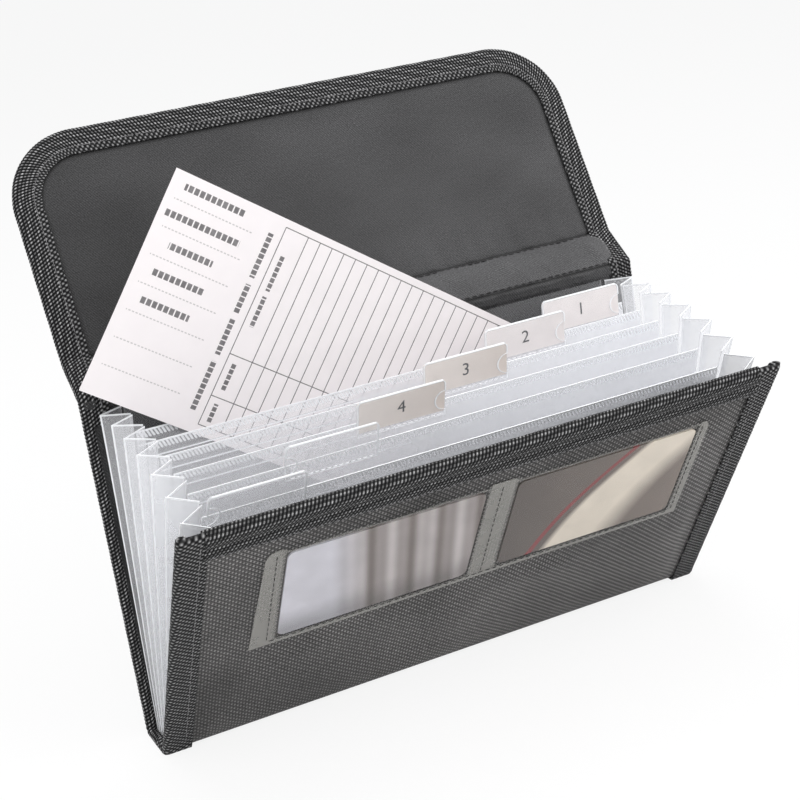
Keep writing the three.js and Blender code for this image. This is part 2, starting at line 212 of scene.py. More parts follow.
def lean_of(node):
    """Lean of a plain plate from upright: the slope of its longest direction in the YZ plane."""
    places = corners(node)[:, 1:]
    direction = np.linalg.svd(places - places.mean(axis=0), full_matrices=False)[2][0]
    direction = direction * np.sign(direction[1])
    return math.atan2(-direction[0], direction[1])


def leaf_panels():
    """The file's eight leaves, back to front, with evenly spaced folds and leans that fan out evenly."""
    turns = [joint_place(f"divider_{k}_turn") for k in range(1, POCKETS)]
    folds = [2 * turns[0] - turns[1], *turns, joint_place("front_fold")]
    leans = np.linspace(lean_of("back_board"), lean_of("front_board"), POCKETS + 1)
    return [Panel(fold, lean) for fold, lean in zip(folds, leans)]


LEAVES = leaf_panels()
BACK = LEAVES[0]
FRONT = LEAVES[POCKETS]
LOWER_FOLD = joint_place("band_fold")
UPPER_FOLD = joint_place("flap_crease")
BAND_UP = (UPPER_FOLD - LOWER_FOLD) / np.linalg.norm(UPPER_FOLD - LOWER_FOLD)
BAND = Panel(LOWER_FOLD, math.atan2(-BAND_UP[1], BAND_UP[2]))
FLAP = Panel(UPPER_FOLD, lean_of("flap_board"))

COVER_HALF = float(corners("back_binding_right")[:, 0].max())
FRONT_HEIGHT = float(FRONT.extent("front_binding_top")[1][2])
FLAP_HEIGHT = float(FLAP.extent("flap_binding")[1][2])
SPINE = float(BACK.fold[1] - FRONT.fold[1])
MIDDLE = float((LOWER_FOLD - BACK.fold) @ BACK.back)
T_LOWER = float((LOWER_FOLD - BACK.fold) @ BACK.up)
T_UPPER = T_LOWER + float(np.linalg.norm(UPPER_FOLD - LOWER_FOLD))
T_TOP = T_UPPER + FLAP_HEIGHT
T_JOIN = (T_LOWER + T_UPPER) / 2
T_SPINE = -SPINE / 2
FRONT_DROP = 1.8 * MM
T_FRONT_TOP = -SPINE - FRONT_HEIGHT + FRONT_DROP
GROUND_GAP = 0.04 * MM


class Cover:
    """The sewn cover as one folded strip.

    A point is given by x across, `out` square to the strip on its outer side, measured from the file's outer
    leaf, and `t` along the strip from the back's foot: the spine and front have negative t, and the band and
    the flap follow the back. Each stretch has its own plane, and near a fold two planes are mixed by a smooth
    step of t, which rounds the bend.
    """

    def __init__(self):
        y_axis = np.array((0.0, 1.0, 0.0))
        down = np.array((0.0, 0.0, -1.0))
        self.planes = (
            (FRONT.fold, -FRONT.up, -FRONT.back, -SPINE),
            (BACK.fold, y_axis, down, 0.0),
            (BACK.fold, BACK.up, BACK.back, 0.0),
            (BAND.fold - MIDDLE * BAND.back, BAND.up, BAND.back, T_LOWER),
            (FLAP.fold - MIDDLE * FLAP.back, FLAP.up, FLAP.back, T_UPPER),
        )
        self.bends = ((-SPINE, 4.5 * MM), (0.0, 4.0 * MM), (T_LOWER, 2.6 * MM), (T_UPPER, 2.6 * MM))

    def at(self, x, out, t):
        """Places on the strip, kept just above the ground."""
        x, out, t = np.broadcast_arrays(x, out, t)
        across = x[..., None] * np.array((1.0, 0.0, 0.0))

        def on(plane):
            origin, along, outward, start = plane
            return origin + across + (t - start)[..., None] * along + out[..., None] * outward

        places = on(self.planes[0])
        for plane, (fold, reach) in zip(self.planes[1:], self.bends):
            share = smooth(fold - reach, fold + reach, t)[..., None]
            places = places * (1.0 - share) + on(plane) * share
        places[..., 2] = np.maximum(places[..., 2], GROUND_GAP)
        return places

    def skin(self, t):
        """Distance of the outer cloth's face from the file, stepping from the front to the flap."""
        levels = (2.775 * MM, 1.72 * MM, 3.475 * MM, 2.75 * MM, 3.475 * MM)
        spans = ((-SPINE - 6 * MM, -SPINE + MM), (-MM, 6 * MM), (T_LOWER - 5 * MM, T_LOWER + 3 * MM))
        spans += ((T_UPPER - 4 * MM, T_UPPER + 5 * MM),)
        level = np.full_like(t, levels[0])
        for height, before, (low, high) in zip(levels[1:], levels, spans):
            level = level + (height - before) * smooth(low, high, t)
        return level


COVER = Cover()


# Meshes


def spread(low, high, step, multiple=1):
    """Evenly spaced values from low to high, no further apart than step, in a whole multiple of steps."""
    count = max(1, math.ceil(abs(high - low) / step / multiple)) * multiple
    return np.linspace(low, high, count + 1)


def fan_volume(points, faces):
    """Six times the volume under the faces, each cut into triangles from its first corner."""
    first = points[faces[:, 0]]
    total = 0.0
    for k in range(1, faces.shape[1] - 1):
        total += np.einsum("ij,ij->", first, np.cross(points[faces[:, k]], points[faces[:, k + 1]]))
    return total


def mesh_object(name, points, faces, uv=None, values=None, sharp=55.0):
    """One mesh object from (n, 3) points and arrays of corner numbers, turned to a positive volume."""
    parts = faces if isinstance(faces, tuple) else (faces,)
    if sum(fan_volume(points, part) for part in parts) < 0:
        parts = tuple(part[:, ::-1] for part in parts)
    flat = np.concatenate([part.ravel() for part in parts]).astype(np.int32)
    counts = np.concatenate([np.full(len(part), part.shape[1]) for part in parts])
    mesh = bpy.data.meshes.new(name)
    mesh.vertices.add(len(points))
    mesh.vertices.foreach_set("co", points.astype(np.float32).ravel())
    mesh.loops.add(len(flat))
    mesh.loops.foreach_set("vertex_index", flat)
    mesh.polygons.add(len(counts))
    mesh.polygons.foreach_set("loop_start", (np.cumsum(counts) - counts).astype(np.int32))
    if uv is not None:
        layer = mesh.uv_layers.new(name=CLOTH_MAP)
        layer.data.foreach_set("uv", uv[flat].astype(np.float32).ravel())
    for key, value in (values or {}).items():
        attribute = mesh.attributes.new(key, "FLOAT", "POINT")
        attribute.data.foreach_set("value", value.astype(np.float32).ravel())
    mesh.update(calc_edges=True)
    mesh.shade_smooth()
    mesh.set_sharp_from_angle(angle=math.radians(sharp))
    piece = bpy.data.objects.new(name, mesh)
    bpy.context.scene.collection.objects.link(piece)
    return piece


def cells(number):
    """Corner numbers of a grid's cells."""
    quads = (number[:-1, :-1], number[:-1, 1:], number[1:, 1:], number[1:, :-1])
    return np.stack(quads, axis=-1).reshape(-1, 4)


def outline(number):
    """Corner numbers round a grid's edge."""
    return np.concatenate((number[0, :-1], number[:-1, -1], number[-1, :0:-1], number[:0:-1, 0]))


def slab(name, front, back, uv, values=None, sharp=55.0, thin=1):
    """A closed sheet between two (rows, columns, 3) grids, joined round their shared outline.

    With `thin` above 1 the back keeps only every thin-th row and column, and each face of the rim reaches
    over that many steps of the front.
    """
    rows, columns = front.shape[:2]
    kept = back[::thin, ::thin]
    number = np.arange(rows * columns).reshape(rows, columns)
    behind = rows * columns + np.arange(kept.shape[0] * kept.shape[1]).reshape(kept.shape[:2])
    loop, close = outline(number), outline(behind)
    steps = np.concatenate((loop.reshape(-1, thin), np.roll(loop, -thin).reshape(-1, thin)[:, :1]), axis=1)
    rim = np.concatenate((steps[:, ::-1], close[:, None], np.roll(close, -1)[:, None]), axis=1)
    faces = (cells(number), cells(behind)[:, ::-1], rim)

    def both(grid, width):
        grid = np.broadcast_to(grid, (rows, columns, width))
        return np.concatenate((grid.reshape(-1, width), grid[::thin, ::thin].reshape(-1, width)))

    points = np.concatenate((front.reshape(-1, 3), kept.reshape(-1, 3)))
    flat_uv = both(np.stack(np.broadcast_arrays(*uv), axis=-1), 2)
    stored = {key: both(np.asarray(value)[..., None], 1) for key, value in (values or {}).items()}
    return mesh_object(name, points, faces, flat_uv, stored, sharp)


def lengths(points):
    """Distance along a line of points from its start."""
    return np.concatenate(((0.0,), np.cumsum(np.linalg.norm(np.diff(points, axis=0), axis=1))))


def stitch_row(line, facing, pitch, length, radius):
    """Points and faces of a row of stitches along a line.

    Ring s of a stitch, from 0 to 1, is lifted off the cloth by the sine of pi s and swells with it, so that
    both ends dip into the cloth.
    """
    arc = lengths(line)
    count = max(1, int((arc[-1] - length) / pitch) + 1)
    start = (arc[-1] - (count - 1) * pitch - length) / 2 + np.arange(count) * pitch
    share = np.linspace(0.0, 1.0, 5)
    ring = np.arange(6)
    turn = ring * math.pi / 3
    places = start[:, None] + share * length
    centre = np.stack([np.interp(places, arc, line[:, axis]) for axis in range(3)], axis=-1)
    facing = np.broadcast_to(facing, line.shape)
    lift = np.stack([np.interp(places[:, 2], arc, facing[:, axis]) for axis in range(3)], axis=-1)
    lift = lift / np.linalg.norm(lift, axis=-1, keepdims=True)
    side = np.cross(centre[:, -1] - centre[:, 0], lift)
    side = side / np.linalg.norm(side, axis=-1, keepdims=True)
    swell = np.sin(math.pi * share)
    size = radius * (0.4 + 0.6 * swell)
    height = radius * (1.1 * swell - 0.5)
    ring_up = height[:, None] + size[:, None] * np.sin(turn)
    ring_side = size[:, None] * np.cos(turn)
    upward = lift[:, None, None] * ring_up[..., None]
    sideways = side[:, None, None] * ring_side[..., None]
    points = centre[:, :, None] + upward + sideways
    here = np.arange(4)[:, None] * 6 + ring
    beside = np.arange(4)[:, None] * 6 + np.roll(ring, -1)
    quads = np.stack((here, beside, beside + 6, here + 6), axis=-1)
    caps = np.array(((3, 2, 1, 0), (5, 4, 3, 0), (24, 25, 26, 27), (24, 27, 28, 29)))
    one = np.concatenate((quads.reshape(-1, 4), caps))
    faces = (np.arange(count)[:, None, None] * 30 + one).reshape(-1, 4)
    return points.reshape(-1, 3), faces


def stitches(name, rows, radius, pitch=None, length=None):
    """One object of several rows of stitches, each a line with the direction it faces."""
    size = sizes()
    points, faces, total = [], [], 0
    for line, facing in rows:
        row, quads = stitch_row(line, facing, pitch or size.stitch_pitch, length or size.stitch, radius)
        points.append(row)
        faces.append(quads + total)
        total += len(row)
    points = np.concatenate(points)
    return mesh_object(name, points, np.concatenate(faces), points[:, :2])


def ripple(x, y, waves):
    """Sum of plane waves, each given by its height and length in millimetres, its heading and its phase."""
    total = np.zeros(np.broadcast_shapes(np.shape(x), np.shape(y)))
    for height, length, heading, phase in waves:
        way = x * math.cos(heading) + y * math.sin(heading)
        total = total + height * MM * np.sin(2 * math.pi * way / (length * MM) + phase)
    return total


def grain(along, across):
    """Rice-grain relief: a raised cosine along the tape in lanes across it.

    It is slanted in each lane and set on by half a pitch from lane to lane, and each lane's strength drifts a
    little along the tape.
    """
    size = sizes()
    row = across / size.lane
    lane = np.floor(row)
    inside = row - lane - 0.5
    phase = along / size.grain_pitch + 0.5 * lane + 0.55 * inside
    crest = 0.5 + 0.5 * np.cos(2 * math.pi * phase)
    drift = 0.8 + 0.2 * np.sin(along / (2.3 * MM) + 2.4 * lane)
    return drift * crest**1.4 * np.cos(math.pi * inside) ** 0.9


def fine_grain(along, across):
    """Close diagonal ribs broken into grains: the product of raised cosines along two slanting lengths."""
    rib_pitch, cut_pitch = 1.9 * MM, 2.4 * MM
    rib = 0.5 + 0.5 * np.cos(2 * math.pi * (along + 0.75 * across) / rib_pitch)
    cut = 0.5 + 0.5 * np.cos(2 * math.pi * (along - 0.8 * across) / cut_pitch)
    return (0.15 + 0.85 * rib) * (0.2 + 0.8 * cut)


def dim_grain(along, across):
    """The close diagonal ribs, lower and with weaker painted highlight on their crests."""
    return 0.78 * fine_grain(along, across)


def flap_grain(along, across):
    """Rice grains on the outer part of the tape, and closer ones inside its stitch line."""
    inner = smooth(9.1 * MM, 9.6 * MM, np.abs(across))
    return grain(along, across) * (1 - inner) + 0.75 * fine_grain(along, across) * inner


def fold_section(inner_leg, outer_leg, near, far):
    """Middle line of a tape folded over an edge: leg, half circle and leg, as evenly spaced points.

    Gives the way in from the edge, the way out from the file, the length across from the edge and the normal.
    """
    radius = (far - near) / 2
    turn = np.linspace(-math.pi / 2, -1.5 * math.pi, 40)
    inward = np.concatenate(((inner_leg,), radius + radius * np.cos(turn), (outer_leg,)))
    out = np.concatenate(((near,), near + radius + radius * np.sin(turn), (far,)))
    line = np.stack((inward, out), axis=1)
    arc = lengths(line)
    even = spread(0.0, arc[-1], TAPE_STEP, TAPE_THIN)
    inward = np.interp(even, arc, line[:, 0])
    out = np.interp(even, arc, line[:, 1])
    along = np.stack((np.gradient(inward), np.gradient(out)), axis=1)
    along = along / np.linalg.norm(along, axis=1, keepdims=True)
    middle = inner_leg - radius + radius * math.pi / 2
    return inward, out, even - middle, -along[:, 1], along[:, 0]


def webbing(name, place, along, legs, levels, pattern=grain, sunk=0.0):
    """Tape folded over an edge: its section carried along a path by `place`, with a relief outside.

    `sunk` lowers the relief of the leg inside the cover, so that its crests stay near the tape's own face.
    """
    size = sizes()
    inward, out, across, side, face = fold_section(*legs, *levels)
    value = pattern(along[:, None], across[None, :])
    half_fold = (levels[1] - levels[0]) * math.pi / 4
    relief = size.grain * (value - sunk * (across < -half_fold)[None, :])
    front = place(inward + side * (size.tape / 2 + relief), out + face * (size.tape / 2 + relief))
    hollow = np.full_like(relief, -size.tape / 2)
    back = place(inward + side * hollow, out + face * hollow)
    uv = (along[:, None], across[None, :])
    # The stored grain also sets where painted highlight falls on the crests
    return slab(name, front, back, uv, {"grain": value}, sharp=80.0, thin=TAPE_THIN)


# Materials


class Recipe:
    """Adds nodes to one tree and joins them by socket."""

    def __init__(self, tree):
        self.tree = tree

    def put(self, socket, value):
        """Joins a socket to another, or sets its value."""
        if isinstance(value, bpy.types.NodeSocket):
            self.tree.links.new(value, socket)
        else:
            socket.default_value = value

    def node(self, kind, inputs=None, **settings):
        """One node with its settings and its inputs by name or number."""
        node = self.tree.nodes.new(kind)
        for key, value in settings.items():
            setattr(node, key, value)
        for key, value in (inputs or {}).items():
            self.put(node.inputs[key], value)
        return node

    def math(self, operation, *values):
        """One arithmetic step."""
        return self.node("ShaderNodeMath", dict(enumerate(values)), operation=operation).outputs[0]

    def times(self, first, second):
        """Product of two values."""
        return self.math("MULTIPLY", first, second)

    def scaled(self, value, factor, offset):
        """A value times a factor, plus an offset."""
        return self.math("MULTIPLY_ADD", value, factor, offset)

    def ramp(self, value, low, high, start=0.0, end=1.0):
        """Straight run from start to end as a value goes from low to high."""
        return self.node("ShaderNodeMapRange", {0: value, 1: low, 2: high, 3: start, 4: end}).outputs[0]

    def noise(self, place, scale, detail):
        """Noise at one scale, about one half."""
        return self.node("ShaderNodeTexNoise", {"Vector": place, "Scale": scale, "Detail": detail}).outputs[0]

    def seen(self):
        """1 for rays from the eye, straight, mirrored or through glass."""
        path = self.node("ShaderNodeLightPath").outputs
        straight = self.math("MAXIMUM", path["Is Camera Ray"], path["Is Glossy Ray"])
        return self.math("MAXIMUM", straight, path["Is Transmission Ray"])

    def mix(self, share, first, second):
        """Mix of two colours."""
        node = self.node("ShaderNodeMix", {0: share, 6: first, 7: second}, data_type="RGBA")
        return node.outputs[2]

    def near(self, value, centre, reach):
        """1 where a value is within reach of a centre."""
        return self.math("COMPARE", value, centre, reach)

    def most(self, masks):
        """Greatest of several masks."""
        total = masks[0]
        for mask in masks[1:]:
            total = self.math("MAXIMUM", total, mask)
        return total

    def within(self, first, second, box):
        """1 inside a rectangle given as low and high of the first and second value."""
        low, high, below, above = box
        across = self.near(first, (low + high) / 2, (high - low) / 2)
        along = self.near(second, (below + above) / 2, (above - below) / 2)
        return self.times(across, along)


def node_group(name, inputs, outputs, build):
    """A shader group, made once: sockets by name with a default, filled by `build(recipe, given)`."""
    if name in bpy.data.node_groups:
        return bpy.data.node_groups[name]
    tree = bpy.data.node_groups.new(name, "ShaderNodeTree")
    for title, default in inputs.items():
        kind = "NodeSocketVector" if default is None else "NodeSocketFloat"
        socket = tree.interface.new_socket(title, in_out="INPUT", socket_type=kind)
        if default is not None:
            socket.default_value = default
    for title in outputs:
        tree.interface.new_socket(title, in_out="OUTPUT", socket_type="NodeSocketFloat")
    recipe = Recipe(tree)
    given = tree.nodes.new("NodeGroupInput")
    result = tree.nodes.new("NodeGroupOutput")
    for title, socket in build(recipe, given.outputs).items():
        recipe.put(result.inputs[title], socket)
    return tree


def weave_group():
    """Plain weave: each cell shows one round cord, and warp and weft take turns from cell to cell."""

    def build(recipe, given):
        parts = recipe.node("ShaderNodeSeparateXYZ", {0: given["Place"]}).outputs
        turns = [recipe.math("DIVIDE", parts[axis], given["Pitch"]) for axis in (0, 1)]
        first, second = [recipe.math("SINE", recipe.times(turn, math.pi)) for turn in turns]
        over = recipe.scaled(recipe.times(first, second), 0.5, 0.5)
        warp = recipe.times(recipe.math("ABSOLUTE", first), over)
        weft = recipe.times(recipe.math("ABSOLUTE", second), recipe.math("SUBTRACT", 1.0, over))
        return {"Height": recipe.math("ADD", warp, weft), "Over": over}

    return node_group("Plain weave", {"Place": None, "Pitch": 0.9 * MM}, ("Height", "Over"), build)


def twill_group():
    """Fine twill: a cosine of the sum of the two lengths, roughened by fibre noise."""

    def build(recipe, given):
        parts = recipe.node("ShaderNodeSeparateXYZ", {0: given["Place"]}).outputs
        both = recipe.math("ADD", parts[0], recipe.times(parts[1], 0.7))
        turn = recipe.math("DIVIDE", both, given["Pitch"])
        wave = recipe.math("COSINE", recipe.times(turn, 2 * math.pi))
        fibre = recipe.noise(given["Place"], 1600.0, 2.0)
        return {"Height": recipe.scaled(wave, 0.35, fibre)}

    return node_group("Fine twill", {"Place": None, "Pitch": 1.1 * MM}, ("Height",), build)


def tone_group():
    """Uneven tone: noise at a given scale, as a factor about 1."""

    def build(recipe, given):
        swing = recipe.math("SUBTRACT", recipe.noise(given["Place"], given["Scale"], 4.0), 0.5)
        return {"Factor": recipe.scaled(swing, given["Amount"], 1.0)}

    return node_group("Uneven tone", {"Place": None, "Scale": 60.0, "Amount": 0.5}, ("Factor",), build)


class Finish(Recipe):
    """A new material with one principled surface."""

    def __init__(self, name):
        self.material = bpy.data.materials.new(name)
        self.material.use_nodes = True
        super().__init__(self.material.node_tree)
        self.surface = self.tree.nodes["Principled BSDF"]

    def place(self):
        """The piece's own flat coordinates in metres."""
        return self.node("ShaderNodeUVMap", uv_map=CLOTH_MAP).outputs[0]

    def object_place(self):
        """Coordinates in the row frame."""
        return self.node("ShaderNodeTexCoord").outputs["Object"]

    def split(self, place):
        """The first two coordinates as separate values."""
        return self.node("ShaderNodeSeparateXYZ", {0: place}).outputs[:2]

    def value(self, name):
        """A named value stored on the mesh."""
        return self.node("ShaderNodeAttribute", attribute_name=name).outputs["Fac"]

    def group(self, tree, inputs):
        """A shader group with its inputs by name."""
        node = self.tree.nodes.new("ShaderNodeGroup")
        node.node_tree = tree
        for key, value in inputs.items():
            self.put(node.inputs[key], value)
        return node.outputs

    def tone(self, place, scale, amount):
        """Uneven tone at one scale."""
        return self.group(tone_group(), {"Place": place, "Scale": scale, "Amount": amount})[0]

    def shade(self, colour, factor):
        """A colour times a factor."""
        plain = colour[:3] if isinstance(colour, tuple) else colour
        return self.node("ShaderNodeVectorMath", {0: plain, 1: factor}, operation="MULTIPLY").outputs[0]

    def bump(self, height, distance, strength=1.0):
        """Normal bent by a height."""
        node = self.node("ShaderNodeBump", {"Height": height, "Distance": distance, "Strength": strength})
        return node.outputs[0]

    def finish(self, **inputs):
        """Sets the surface's inputs, named with underscores for spaces."""
        for key, value in inputs.items():
            self.put(self.surface.inputs[key.replace("_", " ")], value)
        return self.material


def material(name, build):
    """A material by name, made on first use."""
    return bpy.data.materials.get(name) or build(name)


def cloth_finish(name):
    """Outer cloth: plain weave with painted light on its cords and painted shade in its gaps, broad painted
    sheen, fine uneven tone and a faint sheen.
    """
    make = Finish(name)
    place = make.place()
    u, v = make.split(place)
    closer_weft = 1.12
    cell = make.node("ShaderNodeCombineXYZ", {0: u, 1: make.times(v, closer_weft)}).outputs[0]
    weave = make.group(weave_group(), {"Place": cell, "Pitch": 1.42 * MM})
    # Painted light on the weave's cords, lighter where the warp lies over, and painted shade in the gaps
    # between them
    light = make.times(make.math("POWER", weave["Height"], 0.9), make.scaled(weave["Over"], 0.9, 0.5))
    factor = make.math("MAXIMUM", make.scaled(light, 3.0, -0.85), 0.05)
    # Broad painted sheen: noise at a large scale, then a fine uneven tone
    factor = make.times(factor, make.tone(place, 11.0, 2.6))
    factor = make.times(factor, make.tone(cell, 420.0, 1.5))
    return make.finish(
        Base_Color=make.shade(colours("cloth"), factor),
        Roughness=0.7,
        Specular_IOR_Level=0.2,
        Sheen_Weight=0.08,
        Sheen_Roughness=0.5,
        Normal=make.bump(weave["Height"], 0.2 * MM, 0.9),
    )


def lining_finish(name, lift=1.0):
    """Lining: fine twill with painted shade in its grooves, broad wavy painted sheen, painted light growing
    to the right and painted shade lines at the folds; `lift` paints it lighter as painted light.
    """
    make = Finish(name)
    place = make.place()
    height = make.group(twill_group(), {"Place": place, "Pitch": 1.12 * MM})[0]
    u, v = make.split(place)
    stretched = make.node("ShaderNodeCombineXYZ", {0: make.times(u, 0.5), 1: v}).outputs[0]
    # Broad wavy painted sheen, times a fine uneven tone
    factor = make.times(make.tone(stretched, 16.0, 1.9), make.tone(place, 1500.0, 2.4))
    # Painted shade in the twill's grooves
    factor = make.times(factor, make.scaled(height, 0.8, 0.58))
    # Painted light: lighter towards the right, times lift
    factor = make.times(factor, make.ramp(u, -120 * MM, 90 * MM, 0.66 * lift, 1.25 * lift))
    # Painted shade lines at the folds and beside the tape
    factor = make.times(factor, make.scaled(make.value("painted_shade"), -0.85, 1.0))
    return make.finish(
        Base_Color=make.shade(colours("lining"), factor),
        Roughness=0.55,
        Specular_IOR_Level=0.25,
        Sheen_Weight=0.05,
        Sheen_Roughness=0.4,
        Normal=make.bump(height, 0.12 * MM, 0.8),
    )


def tape_finish(name):
    """Webbing: near-black ground, painted highlights on the crests of its grains and fibre noise."""
    make = Finish(name)
    place = make.place()
    # Painted highlight on the crests, following the stored grain
    crest = make.math("POWER", make.value("grain"), 2.2)
    crest = make.times(crest, make.tone(place, 420.0, 1.4))
    fibre = make.noise(place, 2600.0, 3.0)
    colour = make.mix(crest, colours("tape"), colours("grain"))
    colour = make.shade(colour, make.scaled(fibre, 1.2, 0.4))
    return make.finish(
        Base_Color=colour,
        Roughness=0.65,
        Specular_IOR_Level=0.06,
        Normal=make.bump(fibre, 0.08 * MM, 0.6),
    )


def thread_finish(name, colour="thread"):
    """Sewing thread: fine uneven tone over one colour."""
    make = Finish(name)
    factor = make.tone(make.object_place(), 900.0, 1.2)
    return make.finish(Base_Color=make.shade(colours(colour), factor), Roughness=0.6, Specular_IOR_Level=0.25)


def pale_thread_finish(name):
    """Sewing thread in the paler colour."""
    return thread_finish(name, "pale_thread")


# Cloudiness of each film on its faces and its edges, where it is painted highlight, and how much it grows to
# the right and to the front as painted light
FILMS = {
    "backing film": (0.05, 0.4, 0.0, 0.0),
    "file film": (0.13, 0.8, 4.6, 0.4),
    "sleeve film": (0.06, 0.8, 0.0, 0.0),
    "weld film": (0.05, 0.95, 1.0, 0.0),
    "weld dashes": (0.9, 0.95, 0.0, 0.0),
    "pleat film": (0.10, 0.8, 1.2, 2.4),
}
# White of the welds, and painted highlight along the film's edges and folds
FILM_WELD_AND_HIGHLIGHT = (0.95, 0.96, 0.98, 1.0)
FILM_SHADOW = 0.25
TOOTH_SLANT = 0.45


def film_finish(name, top=None):
    """Clear plastic film: faintly cloudy on its faces, with painted highlight along its edges and folds, and
    cloudier to the right and to the front as painted light.

    With `top`, a row of slanted white teeth is pressed in below that height. Most of the light goes through,
    so its shadow is faint.
    """
    make = Finish(name)
    place = make.object_place()
    clear, edge, right, front_light_amount = FILMS[name]
    white = make.value("edge")
    x, y = make.split(place)
    # Painted light: cloudier, so brighter, to the right and to the front
    light_to_right = make.ramp(x, -60 * MM, 125 * MM, 0.0, right)
    light_to_front = make.ramp(y, 15 * MM, -70 * MM, 0.0, front_light_amount)
    painted_light = make.math("ADD", make.math("ADD", light_to_right, light_to_front), 1.0)
    haze_and_light = make.times(make.tone(place, 26.0, 1.1), painted_light)
    opacity = make.scaled(white, edge - clear, make.times(haze_and_light, clear))
    if top is not None:
        u, v = make.split(make.place())
        row = make.near(v, top - 2.1 * MM, 1.3 * MM)
        slant = make.scaled(make.math("SUBTRACT", v, top), TOOTH_SLANT, u)
        wave = make.math("COSINE", make.times(slant, 2 * math.pi / sizes().tooth))
        gap = make.times(row, make.math("LESS_THAN", wave, 0.0))
        tooth = make.times(row, make.math("GREATER_THAN", wave, 0.3))
        opacity = make.times(opacity, make.scaled(gap, -0.6, 1.0))
        opacity = make.scaled(tooth, 0.25, opacity)
        white = make.math("MAXIMUM", white, tooth)
    shadow = make.node("ShaderNodeLightPath").outputs["Is Shadow Ray"]
    opacity = make.times(make.math("MINIMUM", opacity, 1.0), make.scaled(shadow, FILM_SHADOW - 1.0, 1.0))
    scuff = make.noise(place, 90.0, 2.0)
    return make.finish(
        Base_Color=make.mix(white, colours("film"), FILM_WELD_AND_HIGHLIGHT),
        Roughness=make.scaled(scuff, 0.25, 0.2),
        IOR=1.49,
        Alpha=opacity,
        Normal=make.bump(scuff, 0.25 * MM, 0.3),
    )


def vinyl_finish(name):
    """Window vinyl: clear and glossy over the cards, grey where it lies on the cloth."""
    make = Finish(name)
    place = make.place()
    sewn = make.value("sewn")
    cloud = make.tone(place, 90.0, 0.25)
    opacity = make.times(make.scaled(sewn, 0.40, 0.015), cloud)
    wave = make.noise(place, 40.0, 1.0)
    return make.finish(
        Base_Color=(0.45, 0.44, 0.415, 1.0),
        Roughness=make.scaled(sewn, 0.35, 0.12),
        IOR=1.45,
        Specular_IOR_Level=0.25,
        Alpha=opacity,
        Normal=make.bump(wave, 0.5 * MM, 0.4),
    )


def board_finish(name):
    """Pressed board: dark grey with fibre flecks."""
    make = Finish(name)
    place = make.object_place()
    factor = make.times(make.tone(place, 260.0, 0.5), make.tone(place, 1400.0, 0.4))
    return make.finish(Base_Color=make.shade(colours("board"), factor), Roughness=0.85)


def label_finish(name, low, high, pale):
    """Label paper: cream at the left end, browner to the right, faintly mottled, and whiter by `pale`."""
    make = Finish(name)
    place = make.object_place()
    x = make.split(place)[0]
    share = make.ramp(x, low, high)
    colour = make.mix(share, colours("label"), colours("label_end"))
    colour = make.mix(pale, colour, colours("paper"))
    return make.finish(Base_Color=make.shade(colour, make.tone(place, 160.0, 0.14)), Roughness=0.6)


def print_finish(name):
    """Printed ink, slightly uneven."""
    make = Finish(name)
    factor = make.tone(make.object_place(), 700.0, 0.8)
    return make.finish(Base_Color=make.shade(colours("ink"), factor), Roughness=0.7)


# Bars for words on the log sheet, in millimetres: middle, start and end on the stub, then starts and ends
STUB_WORDS = ((5.4, 6.3, 33.7), (17.3, 3.0, 36.8), (29.0, 9.8, 29.8), (40.8, 7.9, 31.5), (52.7, 8.0, 30.0))
TITLE_WORDS = ((8.0, 27.5), (30.5, 43.0), (46.0, 61.5), (64.5, 86.0))
HEAD_WORDS = ((14.6, 30.0), (32.5, 46.0), (62.5, 74.5), (80.5, 88.5))


def paper_finish(name):
    """Log sheet: a stub with dotted rows, a title column and a ruled table, with plain broken bars for words.

    u runs along the sheet's long side from its left end and v down its short side from the top.
    """
    make = Finish(name)
    place = make.place()
    u, v = make.split(place)
    length, hair = sizes().sheet_length, 0.2 * MM
    left, top, bottom = 52.5 * MM, 3.2 * MM, 90.8 * MM
    first_rule, rule_pitch = 63.4 * MM, 5.95 * MM

    def every(value, first, pitch, reach):
        return make.near(make.math("WRAP", value, first + pitch / 2, first - pitch / 2), first, reach)

    def boxed(mask, *box):
        return make.times(mask, make.within(u, v, [edge * MM for edge in box]))

    far = length / MM
    levels = (top, 59.2 * MM, 77.8 * MM, bottom)
    lines = [make.within(u, v, (left, length, level - hair, level + hair)) for level in levels]
    lines.append(make.within(u, v, (left - hair, left + hair, top, bottom)))
    lines.append(boxed(every(u, first_rule, rule_pitch, hair), 63.0, far, 3.2, 90.8))

    letter = every(u, 1.3 * MM, 2.6 * MM, 1.0 * MM)
    words = [boxed(letter, low, high, middle - 1.35, middle + 1.35) for middle, low, high in STUB_WORDS]
    letter = every(v, 1.2 * MM, 2.4 * MM, 0.95 * MM)
    words += [boxed(letter, 46.4, 48.8, low, high) for low, high in TITLE_WORDS]
    words += [boxed(letter, 55.4, 57.4, low, high) for low, high in HEAD_WORDS]

    dots = make.times(every(u, 0.8 * MM, 1.6 * MM, 0.5 * MM), every(v, 11.1 * MM, 11.8 * MM, 0.25 * MM))
    ink = make.math("MAXIMUM", make.most(lines), make.times(make.most(words), 0.95))
    ink = make.math("MAXIMUM", ink, make.times(boxed(dots, 4.0, 40.0, 8.0, 88.0), 0.45))
    ink = make.times(ink, make.times(make.tone(place, 300.0, 0.3), 0.85))
    ground = make.shade(colours("paper"), make.tone(place, 120.0, 0.06))
    colour = make.mix(ink, ground, colours("ink"))
    return make.finish(Base_Color=colour, Roughness=0.7, Specular_IOR_Level=0.3)


